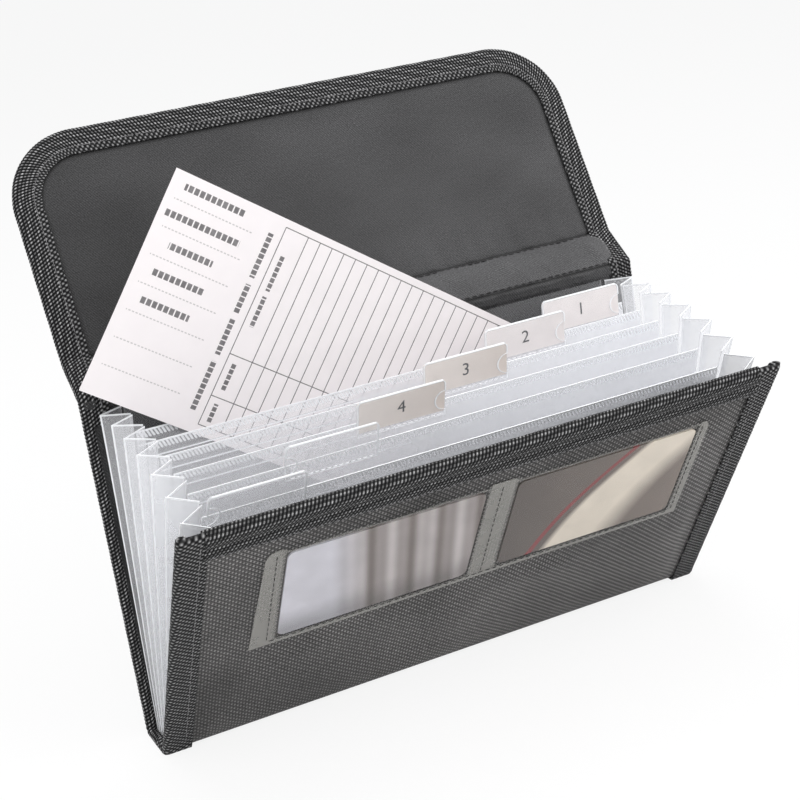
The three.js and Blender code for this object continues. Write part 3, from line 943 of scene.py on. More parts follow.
def left_card_finish(name):
    """Pale card: a plain lilac field on the left, then soft upright bands of taupe and grey."""
    make = Finish(name)
    place = make.place()
    u, v = make.split(place)
    lean = make.math("ADD", u, make.times(v, 0.12))
    wide = make.math("SINE", make.times(lean, 2 * math.pi / (15.5 * MM)))
    close = make.math("SINE", make.times(lean, 2 * math.pi / (6.1 * MM)))
    band = make.scaled(make.scaled(close, 0.45, wide), 0.34, 0.5)
    field = make.mix(make.tone(place, 45.0, 0.5), (0.40, 0.395, 0.43, 1.0), (0.56, 0.55, 0.60, 1.0))
    bands = make.mix(band, (0.13, 0.105, 0.095, 1.0), (0.47, 0.43, 0.43, 1.0))
    share = make.ramp(lean, 24 * MM, 40 * MM)
    colour = make.mix(share, field, bands)
    foot = make.ramp(v, 3 * MM, 16 * MM, 0.55, 1.0)
    colour = make.shade(colour, make.times(foot, make.tone(place, 70.0, 0.4)))
    return make.finish(Base_Color=colour, Roughness=0.3)


def right_card_finish(name):
    """Dark card: taupe ground, a broad slanted cream band with a soft edge and a dark red stripe."""
    make = Finish(name)
    place = make.place()
    u, v = make.split(place)
    bow = make.times(make.math("SINE", make.times(v, math.pi / (54 * MM))), 5 * MM)
    slant = make.math("ADD", make.math("SUBTRACT", u, make.times(v, 0.75)), bow)
    ground = make.mix(make.math("DIVIDE", u, 86 * MM), (0.075, 0.060, 0.053, 1.0), (0.16, 0.125, 0.105, 1.0))
    rise = make.ramp(slant, 20 * MM, 24 * MM)
    fall = make.ramp(slant, 46 * MM, 62 * MM, 1.0, 0.0)
    colour = make.mix(make.times(rise, fall), ground, (0.66, 0.59, 0.50, 1.0))
    stripe = make.near(slant, 15 * MM, 1.6 * MM)
    colour = make.mix(make.times(stripe, 0.9), colour, (0.21, 0.02, 0.026, 1.0))
    colour = make.shade(colour, make.tone(place, 60.0, 0.3))
    return make.finish(Base_Color=colour, Roughness=0.3)


def wear(piece, name, build):
    """Gives a piece one material."""
    piece.data.materials.clear()
    piece.data.materials.append(material(name, build))
    return piece


# Cloth


def flap_half(t):
    """Half width of the flap at t: full, then falling along the corner's circle near the top."""
    corner = sizes().flap_corner
    rise = np.clip(t - (T_TOP - corner), 0.0, corner)
    return COVER_HALF - corner + np.sqrt(np.maximum(corner**2 - rise**2, 0.0))


def flap_depth(x, t):
    """Distance in from the flap's outline: from its straight edges, or near a corner from its circle."""
    corner = sizes().flap_corner
    x, t = np.broadcast_arrays(np.abs(x), t)
    beyond_x, beyond_t = x - (COVER_HALF - corner), t - (T_TOP - corner)
    straight = np.minimum(COVER_HALF - x, T_TOP - t)
    rounded = corner - np.hypot(beyond_x, beyond_t)
    return np.where((beyond_x > 0) & (beyond_t > 0), rounded, straight)


def cloth(name, x, t, outer, thickness, values=None):
    """A layer of the cover: outer face at `outer` from the file, inner face a thickness further in."""
    front = COVER.at(x, outer, t[:, None])
    back = COVER.at(x, outer - thickness, t[:, None])
    return slab(name, front, back, (x, t[:, None]), values)


def flap_columns(columns, t, inset):
    """Columns across the flap, in even shares of its width at each t less an inset."""
    return np.linspace(-1.0, 1.0, columns)[None, :] * (flap_half(t) - inset)[:, None]


# Waves of the cloth: height and length in millimetres, heading and phase
FRONT_WAVES = ((0.4, 52, 0.5, 0.4), (0.3, 83, -0.3, 1.1), (0.2, 31, 1.2, 2.0))
BACK_WAVES = ((0.18, 90, 0.4, 0.0), (0.12, 47, 1.4, 0.7))
FLAP_WAVES = ((0.2, 75, 0.9, 0.0), (0.14, 43, -0.5, 0.7))
BACK_GATHERS = ((0.25, 17, 0.05, 0.0), (0.2, 26, -0.12, 1.0), (0.15, 7, 0.2, 0.4))
BAND_GATHERS = ((0.6, 23, 0.25, 0.3), (0.5, 37, -0.2, 1.3), (0.3, 12, 0.5, 2.1), (0.15, 6.3, 0.3, 0.9))
FLAP_PUFFS = ((0.30, 70, 0.35, 0.5), (0.24, 46, 0.9, 1.9), (0.16, 29, -0.6, 0.2))
FLAP_TUCKS = ((0.22, 17, 0.1, 0.0), (0.2, 29, -0.1, 0.8), (0.2, 9.5, 0.12, 0.3))
WINDOW_WAVES = ((0.12, 38, 0.4, 0.2), (0.10, 23, 1.1, 1.4))

CLOTH_STEP = 1.3 * MM
CLOTH_INSET = 1.2 * MM
LINING_INSET = 1.4 * MM
TOP_INSET = 1.3 * MM
# Widths of the painted shade lines on the lining: at its folds, and beside the tape's edge
FOLD_SHADE_WIDTH = 0.7 * MM
TAPE_SHADE_WIDTH = 0.9 * MM
# Painted light: the band's lining is a lighter copy of the lining
BAND_PAINTED_LIGHT = 1.45


class ORGANIZER_OT_outer_cloth(bpy.types.Operator):
    """Outer cloth from front to flap, in three cuts that meet under the spine and on the band"""

    bl_idname = "organizer.outer_cloth"
    bl_label = "Outer cloth"

    def execute(self, context):
        """Lays the outer cloth."""
        size = sizes()
        half = COVER_HALF - CLOTH_INSET
        x = spread(-half, half, 1.6 * MM)[None, :]
        t = spread(T_FRONT_TOP + CLOTH_INSET, T_SPINE, CLOTH_STEP)
        height = (-SPINE - t)[:, None]
        foot = (2 * MM, 14 * MM)
        below_window = hump(height, foot, (44 * MM, 58 * MM))
        by_window = smooth(101 * MM, 112 * MM, x) * hump(height, foot, (112 * MM, 128 * MM))
        off_tape = 1 - smooth(112 * MM, 119 * MM, np.abs(x))
        free = np.maximum(below_window, 0.6 * by_window) * off_tape
        puff = free * (0.55 * MM + ripple(x, height, FRONT_WAVES))
        piece = cloth("front_cloth", x, t, COVER.skin(t)[:, None] + puff, size.cloth)
        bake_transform(piece)
        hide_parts("front_cover")
        wear(piece, "outer cloth", cloth_finish)

        t = spread(T_SPINE, T_JOIN, CLOTH_STEP)
        free = hump(t, (4 * MM, 20 * MM), (T_LOWER - 12 * MM, T_LOWER - 3 * MM))[:, None]
        puff = free * (0.3 * MM + ripple(x, t[:, None], BACK_WAVES))
        piece = cloth("back_cloth", x, t, COVER.skin(t)[:, None] + puff, size.cloth)
        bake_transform(piece)
        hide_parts("back_cover")
        wear(piece, "outer cloth", cloth_finish)

        wide_rows = spread(T_JOIN, T_TOP - 8 * MM, CLOTH_STEP)
        close_rows = spread(T_TOP - 7.4 * MM, T_TOP - TOP_INSET, 0.6 * MM)
        t = np.concatenate((wide_rows, close_rows))
        x = flap_columns(x.shape[1], t, CLOTH_INSET)
        free = smooth(T_UPPER + 4 * MM, T_UPPER + 18 * MM, t)[:, None]
        puff = free * (0.3 * MM + ripple(x, t[:, None], FLAP_WAVES))
        piece = cloth("flap_cloth", x, t, COVER.skin(t)[:, None] + puff, size.cloth)
        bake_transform(piece)
        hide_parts("flap_cover")
        wear(piece, "outer cloth", cloth_finish)
        return {"FINISHED"}


class ORGANIZER_OT_lining(bpy.types.Operator):
    """Lining of back, band and flap: each part is sewn down on the fold lines and puffs out between them"""

    bl_idname = "organizer.lining"
    bl_label = "Lining"

    def execute(self, context):
        """Lays the lining."""
        size = sizes()
        half = COVER_HALF - LINING_INSET
        x = spread(-half, half, 1.1 * MM)[None, :]
        face = MIDDLE - size.lining / 2

        wide_rows = spread(5 * MM, T_LOWER - 12 * MM, 4 * MM)
        t = np.concatenate((wide_rows, spread(T_LOWER - 11.5 * MM, T_LOWER, 0.5 * MM)))
        down = (T_LOWER - t)[:, None]
        puff = hump(down, (0.0, 1.8 * MM), (4 * MM, 6 * MM))
        inner = face - puff * (0.8 * MM + 1.3 * ripple(x, down, BACK_GATHERS))
        # Painted shade along the fold
        values = {"painted_shade": groove(down, FOLD_SHADE_WIDTH)}
        piece = cloth("back_lining_cloth", x, t, inner + size.lining, size.lining, values)
        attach(piece, "back")
        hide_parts("back_lining")
        wear(piece, "lining", lining_finish)

        t = spread(T_LOWER, T_UPPER, 0.45 * MM)
        up = (t - T_LOWER)[:, None]
        share = up / (T_UPPER - T_LOWER)
        ends = smooth(0.0, 16 * MM, half - np.abs(x))
        puff = np.sin(math.pi * share) ** 0.75 * (0.35 + 0.65 * ends)
        inner = face - puff * (1.9 * MM + ripple(x, up, BAND_GATHERS))
        # Painted shade along both folds of the band
        values = {"painted_shade": groove(up, FOLD_SHADE_WIDTH) + groove(up - up[-1], FOLD_SHADE_WIDTH)}
        piece = cloth("band_lining_cloth", x, t, inner + size.lining, size.lining, values)
        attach(piece, "band")
        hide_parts("band_cover")
        wear(piece, "lit band lining", lambda title: lining_finish(title, BAND_PAINTED_LIGHT))

        close_rows = spread(T_UPPER, T_UPPER + 12 * MM, 0.5 * MM)
        t = np.concatenate((close_rows, spread(T_UPPER + 13 * MM, T_TOP - TOP_INSET, 1.2 * MM)))
        up = (t - T_UPPER)[:, None]
        x = flap_columns(x.shape[1], t, LINING_INSET)
        off_sides = smooth(8 * MM, 30 * MM, flap_half(t)[:, None] - np.abs(x))
        off_ends = hump(up, (0.0, 16 * MM), (FLAP_HEIGHT - 30 * MM, FLAP_HEIGHT - 8 * MM))
        rise = off_sides * off_ends * (0.5 * MM + 1.5 * ripple(x, up, FLAP_PUFFS))
        at_fold = hump(up, (0.0, 1.4 * MM), (6 * MM, 24 * MM))
        rise = rise + at_fold * (0.25 * MM + 0.7 * ripple(x, up, FLAP_TUCKS))
        beside = flap_depth(x, t[:, None]) - size.tape_leg
        # Painted shade along the fold and beside the tape's inner edge
        values = {"painted_shade": groove(up, FOLD_SHADE_WIDTH) + groove(beside, TAPE_SHADE_WIDTH)}
        piece = cloth("flap_lining_cloth", x, t, face - rise + size.lining, size.lining, values)
        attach(piece, "flap")
        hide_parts("flap_lining")
        wear(piece, "lining", lining_finish)
        return {"FINISHED"}


# Webbing


# Middles of a tape's two legs, as distances out from the file
BACK_LEVELS = (MIDDLE - 0.9 * MM, MIDDLE + 3.5 * MM)
FRONT_LEVELS = (-0.275 * MM, 3.425 * MM)
BACK_HEAD = T_LOWER - 12 * MM
TOP_LEG = 14.5 * MM
TOP_ROLL = 7.5 * MM
TOP_FOLD = 7 * MM
END_SHUT = 2.2 * MM


def flap_outline(step):
    """The flap's edge from mid band on the left round to mid band on the right: x, t and the way in."""
    corner = sizes().flap_corner
    foot = T_TOP - corner
    rise = spread(T_JOIN, foot, step, TAPE_THIN)
    turn = spread(math.pi, math.pi / 2, step / corner, TAPE_THIN)
    flat = spread(-(COVER_HALF - corner), COVER_HALF - corner, step, TAPE_THIN)
    x = (np.full_like(rise, -COVER_HALF), corner * np.cos(turn) - (COVER_HALF - corner), flat)
    t = (rise, foot + corner * np.sin(turn), np.full_like(flat, T_TOP))
    in_x = (np.ones_like(rise), -np.cos(turn), np.zeros_like(flat))
    in_t = (np.zeros_like(rise), -np.sin(turn), -np.ones_like(flat))

    def whole(parts, mirror):
        left = np.concatenate((parts[0][:-1], parts[1][:-1], parts[2]))
        right = np.concatenate((parts[1][::-1][1:], parts[0][::-1][1:]))
        return np.concatenate((left, mirror * right))

    return whole(x, -1.0), whole(t, 1.0), whole(in_x, -1.0), whole(in_t, 1.0)


def side_place(side, t, shut=None):
    """Places a tape's section on one long edge of the cover at each t.

    Where an end is shut, the two legs close on each other along a quarter circle near it.
    """

    def place(inward, out):
        if shut is not None:
            end, middle, reach = shut
            near = np.clip((reach - (t - end)) / reach, 0.0, 1.0)[:, None]
            out = middle + (out - middle) * np.sqrt(np.maximum(1.0 - near**2, 0.0))
        return COVER.at(side * (COVER_HALF - inward), out, t[:, None])

    return place


class ORGANIZER_OT_webbing(bpy.types.Operator):
    """Webbing folded over the cover's edges: round the flap, up the back and up the front"""

    bl_idname = "organizer.webbing"
    bl_label = "Webbing"

    def execute(self, context):
        """Folds the webbing over the edges."""
        size = sizes()
        x, t, in_x, in_t = flap_outline(TAPE_STEP)

        def loop(inward, out):
            return COVER.at(x[:, None] + in_x[:, None] * inward, out, t[:, None] + in_t[:, None] * inward)

        even_legs = (size.tape_leg, size.tape_leg)
        short_legs = (size.short_leg, size.tape_leg)
        along = lengths(np.stack((x, t), axis=1)) + T_JOIN
        piece = webbing("flap_tape", loop, along, even_legs, BACK_LEVELS, flap_grain)
        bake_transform(piece)
        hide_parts("flap_binding")
        wear(piece, "webbing", tape_finish)

        for name, side in SIDES:
            t_low = spread(T_SPINE, BACK_HEAD, TAPE_STEP, TAPE_THIN)
            place = side_place(side, t_low)
            piece = webbing(f"back_tape_{name}", place, t_low, short_legs, BACK_LEVELS, sunk=1.0)
            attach(piece, "back")
            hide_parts(f"back_binding_{name}")
            wear(piece, "webbing", tape_finish)
            t_head = spread(BACK_HEAD, T_JOIN, TAPE_STEP, TAPE_THIN)
            place = side_place(side, t_head)
            piece = webbing(f"fold_tape_{name}", place, t_head, even_legs, BACK_LEVELS, flap_grain)
            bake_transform(piece)
            wear(piece, "webbing", tape_finish)
            t_front = spread(T_FRONT_TOP - 0.6 * MM, T_SPINE, TAPE_STEP, TAPE_THIN)
            place = side_place(side, t_front, (t_front[0], sum(FRONT_LEVELS) / 2, END_SHUT))
            tape_name = f"front_tape_{name}"
            piece = webbing(tape_name, place, t_front, short_legs, FRONT_LEVELS, dim_grain, sunk=0.8)
            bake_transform(piece)
            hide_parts(f"front_binding_{name}")
            wear(piece, "webbing", tape_finish)

        top_half = COVER_HALF - size.tape_leg + 1.5 * MM
        across = spread(-top_half, top_half, TAPE_STEP, TAPE_THIN)

        def rail(inward, out):
            roll = 0.8 * MM * np.sin(np.clip(inward / TOP_ROLL, 0.0, 1.0) * math.pi)
            fold = 0.55 * MM * np.sin(np.clip((inward - TOP_ROLL) / TOP_FOLD, 0.0, 1.0) * math.pi)
            raised = out + (roll + fold) * (out > 1.5 * MM)
            return COVER.at(across[:, None], raised, T_FRONT_TOP + inward)

        piece = webbing("front_top_tape", rail, across, (size.short_leg, TOP_LEG), FRONT_LEVELS)
        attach(piece, "front")
        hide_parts("front_binding_top")
        wear(piece, "webbing", tape_finish)
        return {"FINISHED"}


def cover_row(x, out, t, facing):
    """A stitch line on the cover: its places, and the way it faces as the step from out to out + facing."""
    x, out, t = np.broadcast_arrays(np.asarray(x, float), np.asarray(out, float), np.asarray(t, float))
    line = COVER.at(x, out, t)
    return line, (COVER.at(x, out + facing * MM, t) - line) / MM


FINE_THREAD = 0.17 * MM
THREAD_LIFT = 0.26 * MM
ROW_INSET = 8.3 * MM
FRONT_ROW_INSET = 8.4 * MM
TOP_ROW = 13.2 * MM


class ORGANIZER_OT_stitching(bpy.types.Operator):
    """Stitch rows along the tapes and the folds"""

    bl_idname = "organizer.stitching"
    bl_label = "Stitching"

    def execute(self, context):
        """Sews the rows."""
        size = sizes()
        near = BACK_LEVELS[0] - size.tape / 2 - THREAD_LIFT
        far = BACK_LEVELS[1] + size.tape / 2 + THREAD_LIFT
        x, t, in_x, in_t = flap_outline(0.8 * MM)
        x, t = x + in_x * ROW_INSET, t + in_t * ROW_INSET
        rows = [cover_row(x, near, t, -1.0), cover_row(x, far, t, 1.0)]
        piece = stitches("flap_stitches", rows, FINE_THREAD)
        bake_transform(piece)
        wear(piece, "pale thread", pale_thread_finish)

        rows = []
        t_head = spread(T_LOWER - 11.5 * MM, T_JOIN, 0.8 * MM)
        for _, side in SIDES:
            edge = side * (COVER_HALF - ROW_INSET)
            rows.append(cover_row(edge, near, t_head, -1.0))
            rows.append(cover_row(edge, far, spread(4 * MM, T_JOIN, MM), 1.0))
        piece = stitches("back_stitches", rows, FINE_THREAD)
        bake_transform(piece)
        wear(piece, "pale thread", pale_thread_finish)

        outer = FRONT_LEVELS[1] + size.tape / 2 + THREAD_LIFT
        t_front = spread(T_FRONT_TOP + MM, -SPINE - 6 * MM, MM)
        edge = COVER_HALF - FRONT_ROW_INSET
        rows = [cover_row(side * edge, outer, t_front, 1.0) for _, side in SIDES]
        half = COVER_HALF - size.tape_leg
        run = spread(-half, half, MM)
        rows.append(cover_row(run, outer + 0.1 * MM, T_FRONT_TOP + TOP_ROW, 1.0))
        piece = stitches("front_stitches", rows, FINE_THREAD)
        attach(piece, "front")
        wear(piece, "pale thread", pale_thread_finish)

        face = MIDDLE - size.lining / 2
        rows = [
            cover_row(run, face - 0.55 * MM, T_LOWER + 1.0 * MM, -1.0),
            cover_row(run, face - 0.5 * MM, T_UPPER - 0.9 * MM, -1.0),
        ]
        piece = stitches("band_stitches", rows, 0.36 * MM, pitch=3.6 * MM, length=2.9 * MM)
        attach(piece, "band")
        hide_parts("band_seam")
        wear(piece, "thread", thread_finish)
        return {"FINISHED"}


# Window and cards


def plate(name, panel, outline, depths, radius, step=1.2 * MM):
    """A flat plate with round corners on a panel, its rows as wide as the corner circles allow."""
    low_x, high_x, low, high = outline
    rise = spread(low, high, step)
    ends = low + radius * (1 - np.cos(np.linspace(0, math.pi / 2, 9)))
    middle = rise[(rise > low + radius) & (rise < high - radius)]
    rise = np.unique(np.concatenate((ends, middle, low + high - ends)))
    off = np.maximum(np.maximum(low + radius - rise, rise - (high - radius)), 0.0)
    inset = radius - np.sqrt(np.maximum(radius**2 - off**2, 0.0))
    share = np.linspace(0.0, 1.0, max(3, int((high_x - low_x) / step)))[None, :]
    x = (low_x + inset)[:, None] + share * (high_x - low_x - 2 * inset)[:, None]
    front = panel.at(x, depths[0], rise[:, None])
    back = panel.at(x, depths[1], rise[:, None])
    return slab(name, front, back, (x - low_x, rise[:, None] - low))


CARD_CORNER = 3.2 * MM
WINDOW_CORNER = 5 * MM
WINDOW_LEAN = 3 * MM
WINDOW_OUT = 3.5 * MM
WINDOW_PLY = 0.28 * MM
SEAM_OUT = 3.6 * MM


class ORGANIZER_OT_card_window(bpy.types.Operator):
    """Clear window sewn to the front, with the two cards behind it"""

    bl_idname = "organizer.card_window"
    bl_label = "Card window"

    def execute(self, context):
        """Builds the window and the cards."""
        builds = {"card_left": left_card_finish, "card_right": right_card_finish}
        gaps = []
        for name, build in builds.items():
            low, high = FRONT.extent(name)
            box = (low[0], high[0], low[2], high[2])
            piece = plate(f"{name}_print", FRONT, box, (low[1], high[1]), CARD_CORNER)
            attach(piece, name)
            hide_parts(name)
            wear(piece, name.replace("_", " "), build)
            gaps.append((low[0], high[0]))
            foot = low[2]

        low, high = FRONT.extent("card_window")
        h = spread(low[2], high[2], 0.8 * MM)[:, None]
        rise = np.clip(h - (high[2] - WINDOW_CORNER), 0.0, WINDOW_CORNER)
        inset = WINDOW_CORNER - np.sqrt(WINDOW_CORNER**2 - rise**2)
        share = spread(0.0, 1.0, 0.8 * MM / (high[0] - low[0]))[None, :]
        start = low[0] - WINDOW_LEAN * (high[2] - h) / (high[2] - low[2]) + inset
        x = start + share * (high[0] - inset - start)
        inside = np.zeros_like(x)
        for left, right in gaps:
            rise, fall = (left - 2.4 * MM, left - 0.4 * MM), (right + 0.4 * MM, right + 2.4 * MM)
            inside = np.maximum(inside, hump(x, rise, fall))
        inside = inside * smooth(foot - 2.4 * MM, foot - 0.4 * MM, h)
        wave = ripple(x, h, WINDOW_WAVES)
        mouth = smooth(high[2] - 6 * MM, high[2], h)
        out = WINDOW_OUT + inside * (0.75 * MM + wave + 0.5 * MM * mouth)
        front = FRONT.at(x, -out, h)
        back = FRONT.at(x, -out + WINDOW_PLY, h)
        sewn = np.maximum(1 - inside, 0.5 * (h > high[2] - 0.8 * MM))
        piece = slab("window_vinyl", front, back, (x, h), {"sewn": sewn})
        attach(piece, "front")
        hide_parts("card_window")
        wear(piece, "window vinyl", vinyl_finish)

        side = spread(low[2] + 2 * MM, high[2] - 2 * MM, MM)
        run = spread(low[0] + 4 * MM, high[0] - 4 * MM, MM)
        seams = ((low[0] + gaps[0][0]) / 2, (gaps[0][1] + gaps[1][0]) / 2, (gaps[1][1] + high[0]) / 2)
        rows = [(FRONT.at(seam, -SEAM_OUT, side), -FRONT.back) for seam in seams]
        rows.append((FRONT.at(run, -SEAM_OUT, (low[2] + foot) / 2), -FRONT.back))
        piece = stitches("window_stitches", rows, 0.18 * MM)
        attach(piece, "front")
        wear(piece, "thread", thread_finish)
        return {"FINISHED"}


# File


LEAF_SHAPE = BACK.measure("back_leaf")
LEAF_FOOT = float(np.abs(LEAF_SHAPE[LEAF_SHAPE[:, 2] < LEAF_SHAPE[:, 2].min() + MM][:, 0]).max())
LEAF_TOP = float(np.abs(LEAF_SHAPE[LEAF_SHAPE[:, 2] > LEAF_SHAPE[:, 2].max() - MM][:, 0]).max())
LEAF_HEIGHT = float(LEAF_SHAPE[:, 2].max())


def leaf_half(height):
    """Half width of a leaf: it narrows evenly from its foot to its top."""
    return LEAF_FOOT + (LEAF_TOP - LEAF_FOOT) * np.clip(height / LEAF_HEIGHT, 0.0, 1.0)


# Depths of a sleeve's two plies, and how far a pleat's film reaches past its solid at its root and its tip
REAR_PLY = -0.05 * MM
FRONT_PLY = -0.79 * MM
PLEAT_ROOT = 0.25 * MM
PLEAT_TIP = 0.85 * MM
RIM = np.array((0.0, 0.45, 0.75)) * MM
RIM_HIGHLIGHT = np.array((1.0, 1.0, 0.0))


def rimmed(low, high, count):
    """Columns from low to high with two close ones at each edge, and the painted highlight that marks those
    edges.
    """
    low, high = np.broadcast_arrays(low, high)
    inner = low + 1.4 * MM + (high - low - 2.8 * MM) * np.linspace(0.0, 1.0, count)
    columns = np.concatenate((low + RIM, inner, high - RIM[::-1]), axis=-1)
    return columns, np.concatenate((RIM_HIGHLIGHT, np.zeros(count), RIM_HIGHLIGHT[::-1]))


def leaf_sheet(name, panel, top, lip=1.0):
    """A leaf of film: rows as wide as the leaf, with painted highlight along its sides and, by `lip`, its top
    edge.
    """
    h = np.concatenate((spread(0.3 * MM, top - 2 * MM, 4 * MM), top - RIM[::-1]))[:, None]
    x, white = rimmed(-leaf_half(h), leaf_half(h), 41)
    edge = np.maximum(0.2 * white, lip * (h > top - 0.5 * MM))
    half = sizes().film / 2
    return slab(name, panel.at(x, -half, h), panel.at(x, half, h), (x, h), {"edge": edge})


def sleeve(name, panel, span, foot, top, cut):
    """A tab's sleeve: film carried up behind the label, over the tab's top and down in front of it.

    Rows follow the folded line; each row's ends come in along the corner circles at the top, and the front
    ply also along the thumb cut's circle at one end.
    """
    size = sizes()
    bend = top - 0.5 * MM
    rear = np.stack((np.full(24, REAR_PLY), np.linspace(foot + 3 * MM, bend, 24)), axis=1)
    middle, radius = (REAR_PLY + FRONT_PLY) / 2, (REAR_PLY - FRONT_PLY) / 2
    turn = np.linspace(0, math.pi, 9)[1:-1]
    over = np.stack((middle + radius * np.cos(turn), bend + radius * np.sin(turn)), axis=1)
    face = np.stack((np.full(46, FRONT_PLY), np.linspace(bend, foot, 46)), axis=1)
    line = np.concatenate((rear, over, face))
    arc = lengths(line)
    along = np.gradient(line, axis=0)
    along = along / np.linalg.norm(along, axis=1, keepdims=True)
    normal = np.stack((along[:, 1], -along[:, 0]), axis=1) * size.film / 2
    corner = 2.5 * MM
    rise = np.clip(line[:, 1] - (top - corner), 0.0, corner)
    inset = corner - np.sqrt(corner**2 - rise**2)
    is_face = np.arange(len(line)) >= len(rear) + len(over)
    drop = np.clip(np.abs(line[:, 1] - (foot + 7.2 * MM)) / size.thumb, 0.0, 1.0)
    thumb = size.thumb * np.sqrt(1 - drop**2) * is_face
    low = span[0] + inset + (thumb if cut < 0 else 0.0)
    high = span[1] - inset - (thumb if cut > 0 else 0.0)
    x, white = rimmed(low[:, None], high[:, None], 15)
    # Painted highlight along the sleeve's rims, its top fold and the foot of its front ply
    edge = np.maximum(white, 1.0 * (line[:, 1] > top - 0.6 * MM)[:, None])
    edge = np.maximum(edge, 1.0 * (is_face & (line[:, 1] < foot + 0.3 * MM))[:, None])
    front = panel.at(x, (line + normal)[:, :1], (line + normal)[:, 1:])
    back = panel.at(x, (line - normal)[:, :1], (line - normal)[:, 1:])
    return slab(name, front, back, (x, arc[:, None]), {"edge": edge})


def weld_strip(name, panel, low_x, high_x, top):
    """The hem along a divider's top: a strip behind it whose upper part is pressed into slanted teeth."""
    size = sizes()
    x = spread(low_x, high_x, 0.34 * MM)[None, :]
    foot = top - size.hem
    h = np.concatenate((foot + RIM, spread(foot + 1.2 * MM, top, 0.4 * MM)))[:, None]
    tooth = 0.5 + 0.5 * np.cos(2 * math.pi * (x + TOOTH_SLANT * (h - top)) / size.tooth)
    band = hump(h, (top - 3.7 * MM, top - 3.1 * MM), (top - 0.7 * MM, top))
    depth = size.film / 2 + 0.18 * MM + 0.34 * MM * tooth * band
    # The pressed teeth's own white, and painted highlight along the strip's foot and top edge
    edge = np.maximum(band * (0.06 + 0.94 * tooth**1.5), 0.9 * (h < foot + 0.5 * MM))
    edge = np.maximum(edge, 0.6 * (h > top - 0.3 * MM))
    return slab(name, panel.at(x, depth, h), panel.at(x, size.film / 2, h), (x, h), {"edge": edge})


def gusset_corners(name):
    """Corners of a facet from its CAD solid: low and high ends of its hinge side, then of its free side."""
    entry = joint(f"{name}_fold")
    origin, axis = np.array(entry["pos_m"]), np.array(entry["axis"])
    axis = axis / np.linalg.norm(axis)
    axis = axis * np.sign(axis[2])
    places = corners(name)
    along = (places - origin) @ axis
    across = np.linalg.norm(places - origin - along[:, None] * axis, axis=1)
    upper = along > (along.min() + along.max()) / 2
    found = []
    for part in (~upper, upper):
        order = np.argsort(across[part])
        group = places[part][order]
        half = len(group) // 2
        found.append((group[:half].mean(axis=0), group[half:].mean(axis=0)))
    (low_in, low_out), (high_in, high_out) = found
    return low_in, high_in, low_out, high_out


def facet(name, label):
    """One pleat facet: a flat grid between its hinge side and its tip, whose edges are marked with painted
    highlight.
    """
    low_in, high_in, low_out, high_out = gusset_corners(name)
    hinge = (high_in - low_in) / np.linalg.norm(high_in - low_in)
    across = (high_out - high_in) - ((high_out - high_in) @ hinge) * hinge
    across = across / np.linalg.norm(across)
    low_in, high_in = low_in - PLEAT_ROOT * across, high_in - PLEAT_ROOT * across
    low_out, high_out = low_out + PLEAT_TIP * across, high_out + PLEAT_TIP * across
    wide, tall = np.linalg.norm(high_out - high_in), np.linalg.norm(high_in - low_in)
    columns, white = rimmed(np.zeros(1), np.full(1, wide), 7)
    s = (columns / wide)[None, :, None]
    r = np.concatenate((np.linspace(0.0, 0.98, 22), 1 - RIM[::-1] / tall))[:, None, None]
    low = low_in + (low_out - low_in) * s
    high = high_in + (high_out - high_in) * s
    middle = low + (high - low) * r
    normal = np.cross(hinge, across)
    half = sizes().film / 2
    white = white * np.where(columns < wide / 2, 0.2, 1.0)
    edge = np.maximum(white[None, :], 0.9 * (r[..., 0] > 1 - 0.5 * MM / tall))
    uv = (columns[None, :], r[..., 0] * tall)
    return slab(label, middle - half * normal, middle + half * normal, uv, {"edge": edge})


class ORGANIZER_OT_file(bpy.types.Operator):
    """The see-through file: leaves, dividers with sleeves and welds, and the pleated sides"""

    bl_idname = "organizer.file"
    bl_label = "File"

    def execute(self, context):
        """Builds the file."""
        size = sizes()
        for name, panel, body in (("back_leaf", BACK, "back"), ("front_leaf", FRONT, "front")):
            piece = leaf_sheet(f"{name}_film", panel, LEAF_HEIGHT, lip=0.0)
            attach(piece, body)
            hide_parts(name)
            wear(piece, "backing film", film_finish)

        for k in range(1, POCKETS):
            panel, name = LEAVES[k], f"divider_{k}"
            shape = panel.measure(name)
            tab_top = float(shape[:, 2].max())
            tab = shape[shape[:, 2] > tab_top - 4 * MM][:, 0]
            span = (float(tab.min()), float(tab.max()))
            top = tab_top - size.tab_height
            piece = leaf_sheet(f"{name}_film", panel, top)
            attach(piece, name)
            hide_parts(name)
            wear(piece, "file film", lambda title: film_finish(title, top))
            foot = tab_top - size.sleeve_height
            piece = sleeve(f"{name}_sleeve", panel, span, foot, tab_top, 1 if k <= 4 else -1)
            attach(piece, name)
            wear(piece, "sleeve film", film_finish)
            half = float(leaf_half(top))
            runs = {"left": (-half, span[0] - 0.3 * MM), "right": (span[1] + 0.3 * MM, half)}
            for part, ends in runs.items():
                piece = weld_strip(f"{name}_hem_{part}", panel, *ends, top)
                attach(piece, name)
                wear(piece, "weld film", film_finish)
            run = spread(span[0] + 1.5 * MM, span[1] - 1.5 * MM, MM)
            rows = [(panel.at(run, -0.98 * MM, foot + 0.9 * MM), -panel.back)]
            piece = stitches(f"{name}_welds", rows, 0.22 * MM, pitch=2.6 * MM, length=1.9 * MM)
            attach(piece, name)
            wear(piece, "weld dashes", film_finish)

        for side, _ in SIDES:
            for k in range(1, POCKETS + 1):
                for part in ("rear", "front"):
                    name = f"gusset_{side}_{k}_{part}"
                    piece = facet(name, f"{name}_film")
                    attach(piece, name)
                    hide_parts(name)
                    wear(piece, "pleat film", film_finish)
        return {"FINISHED"}


# Papers


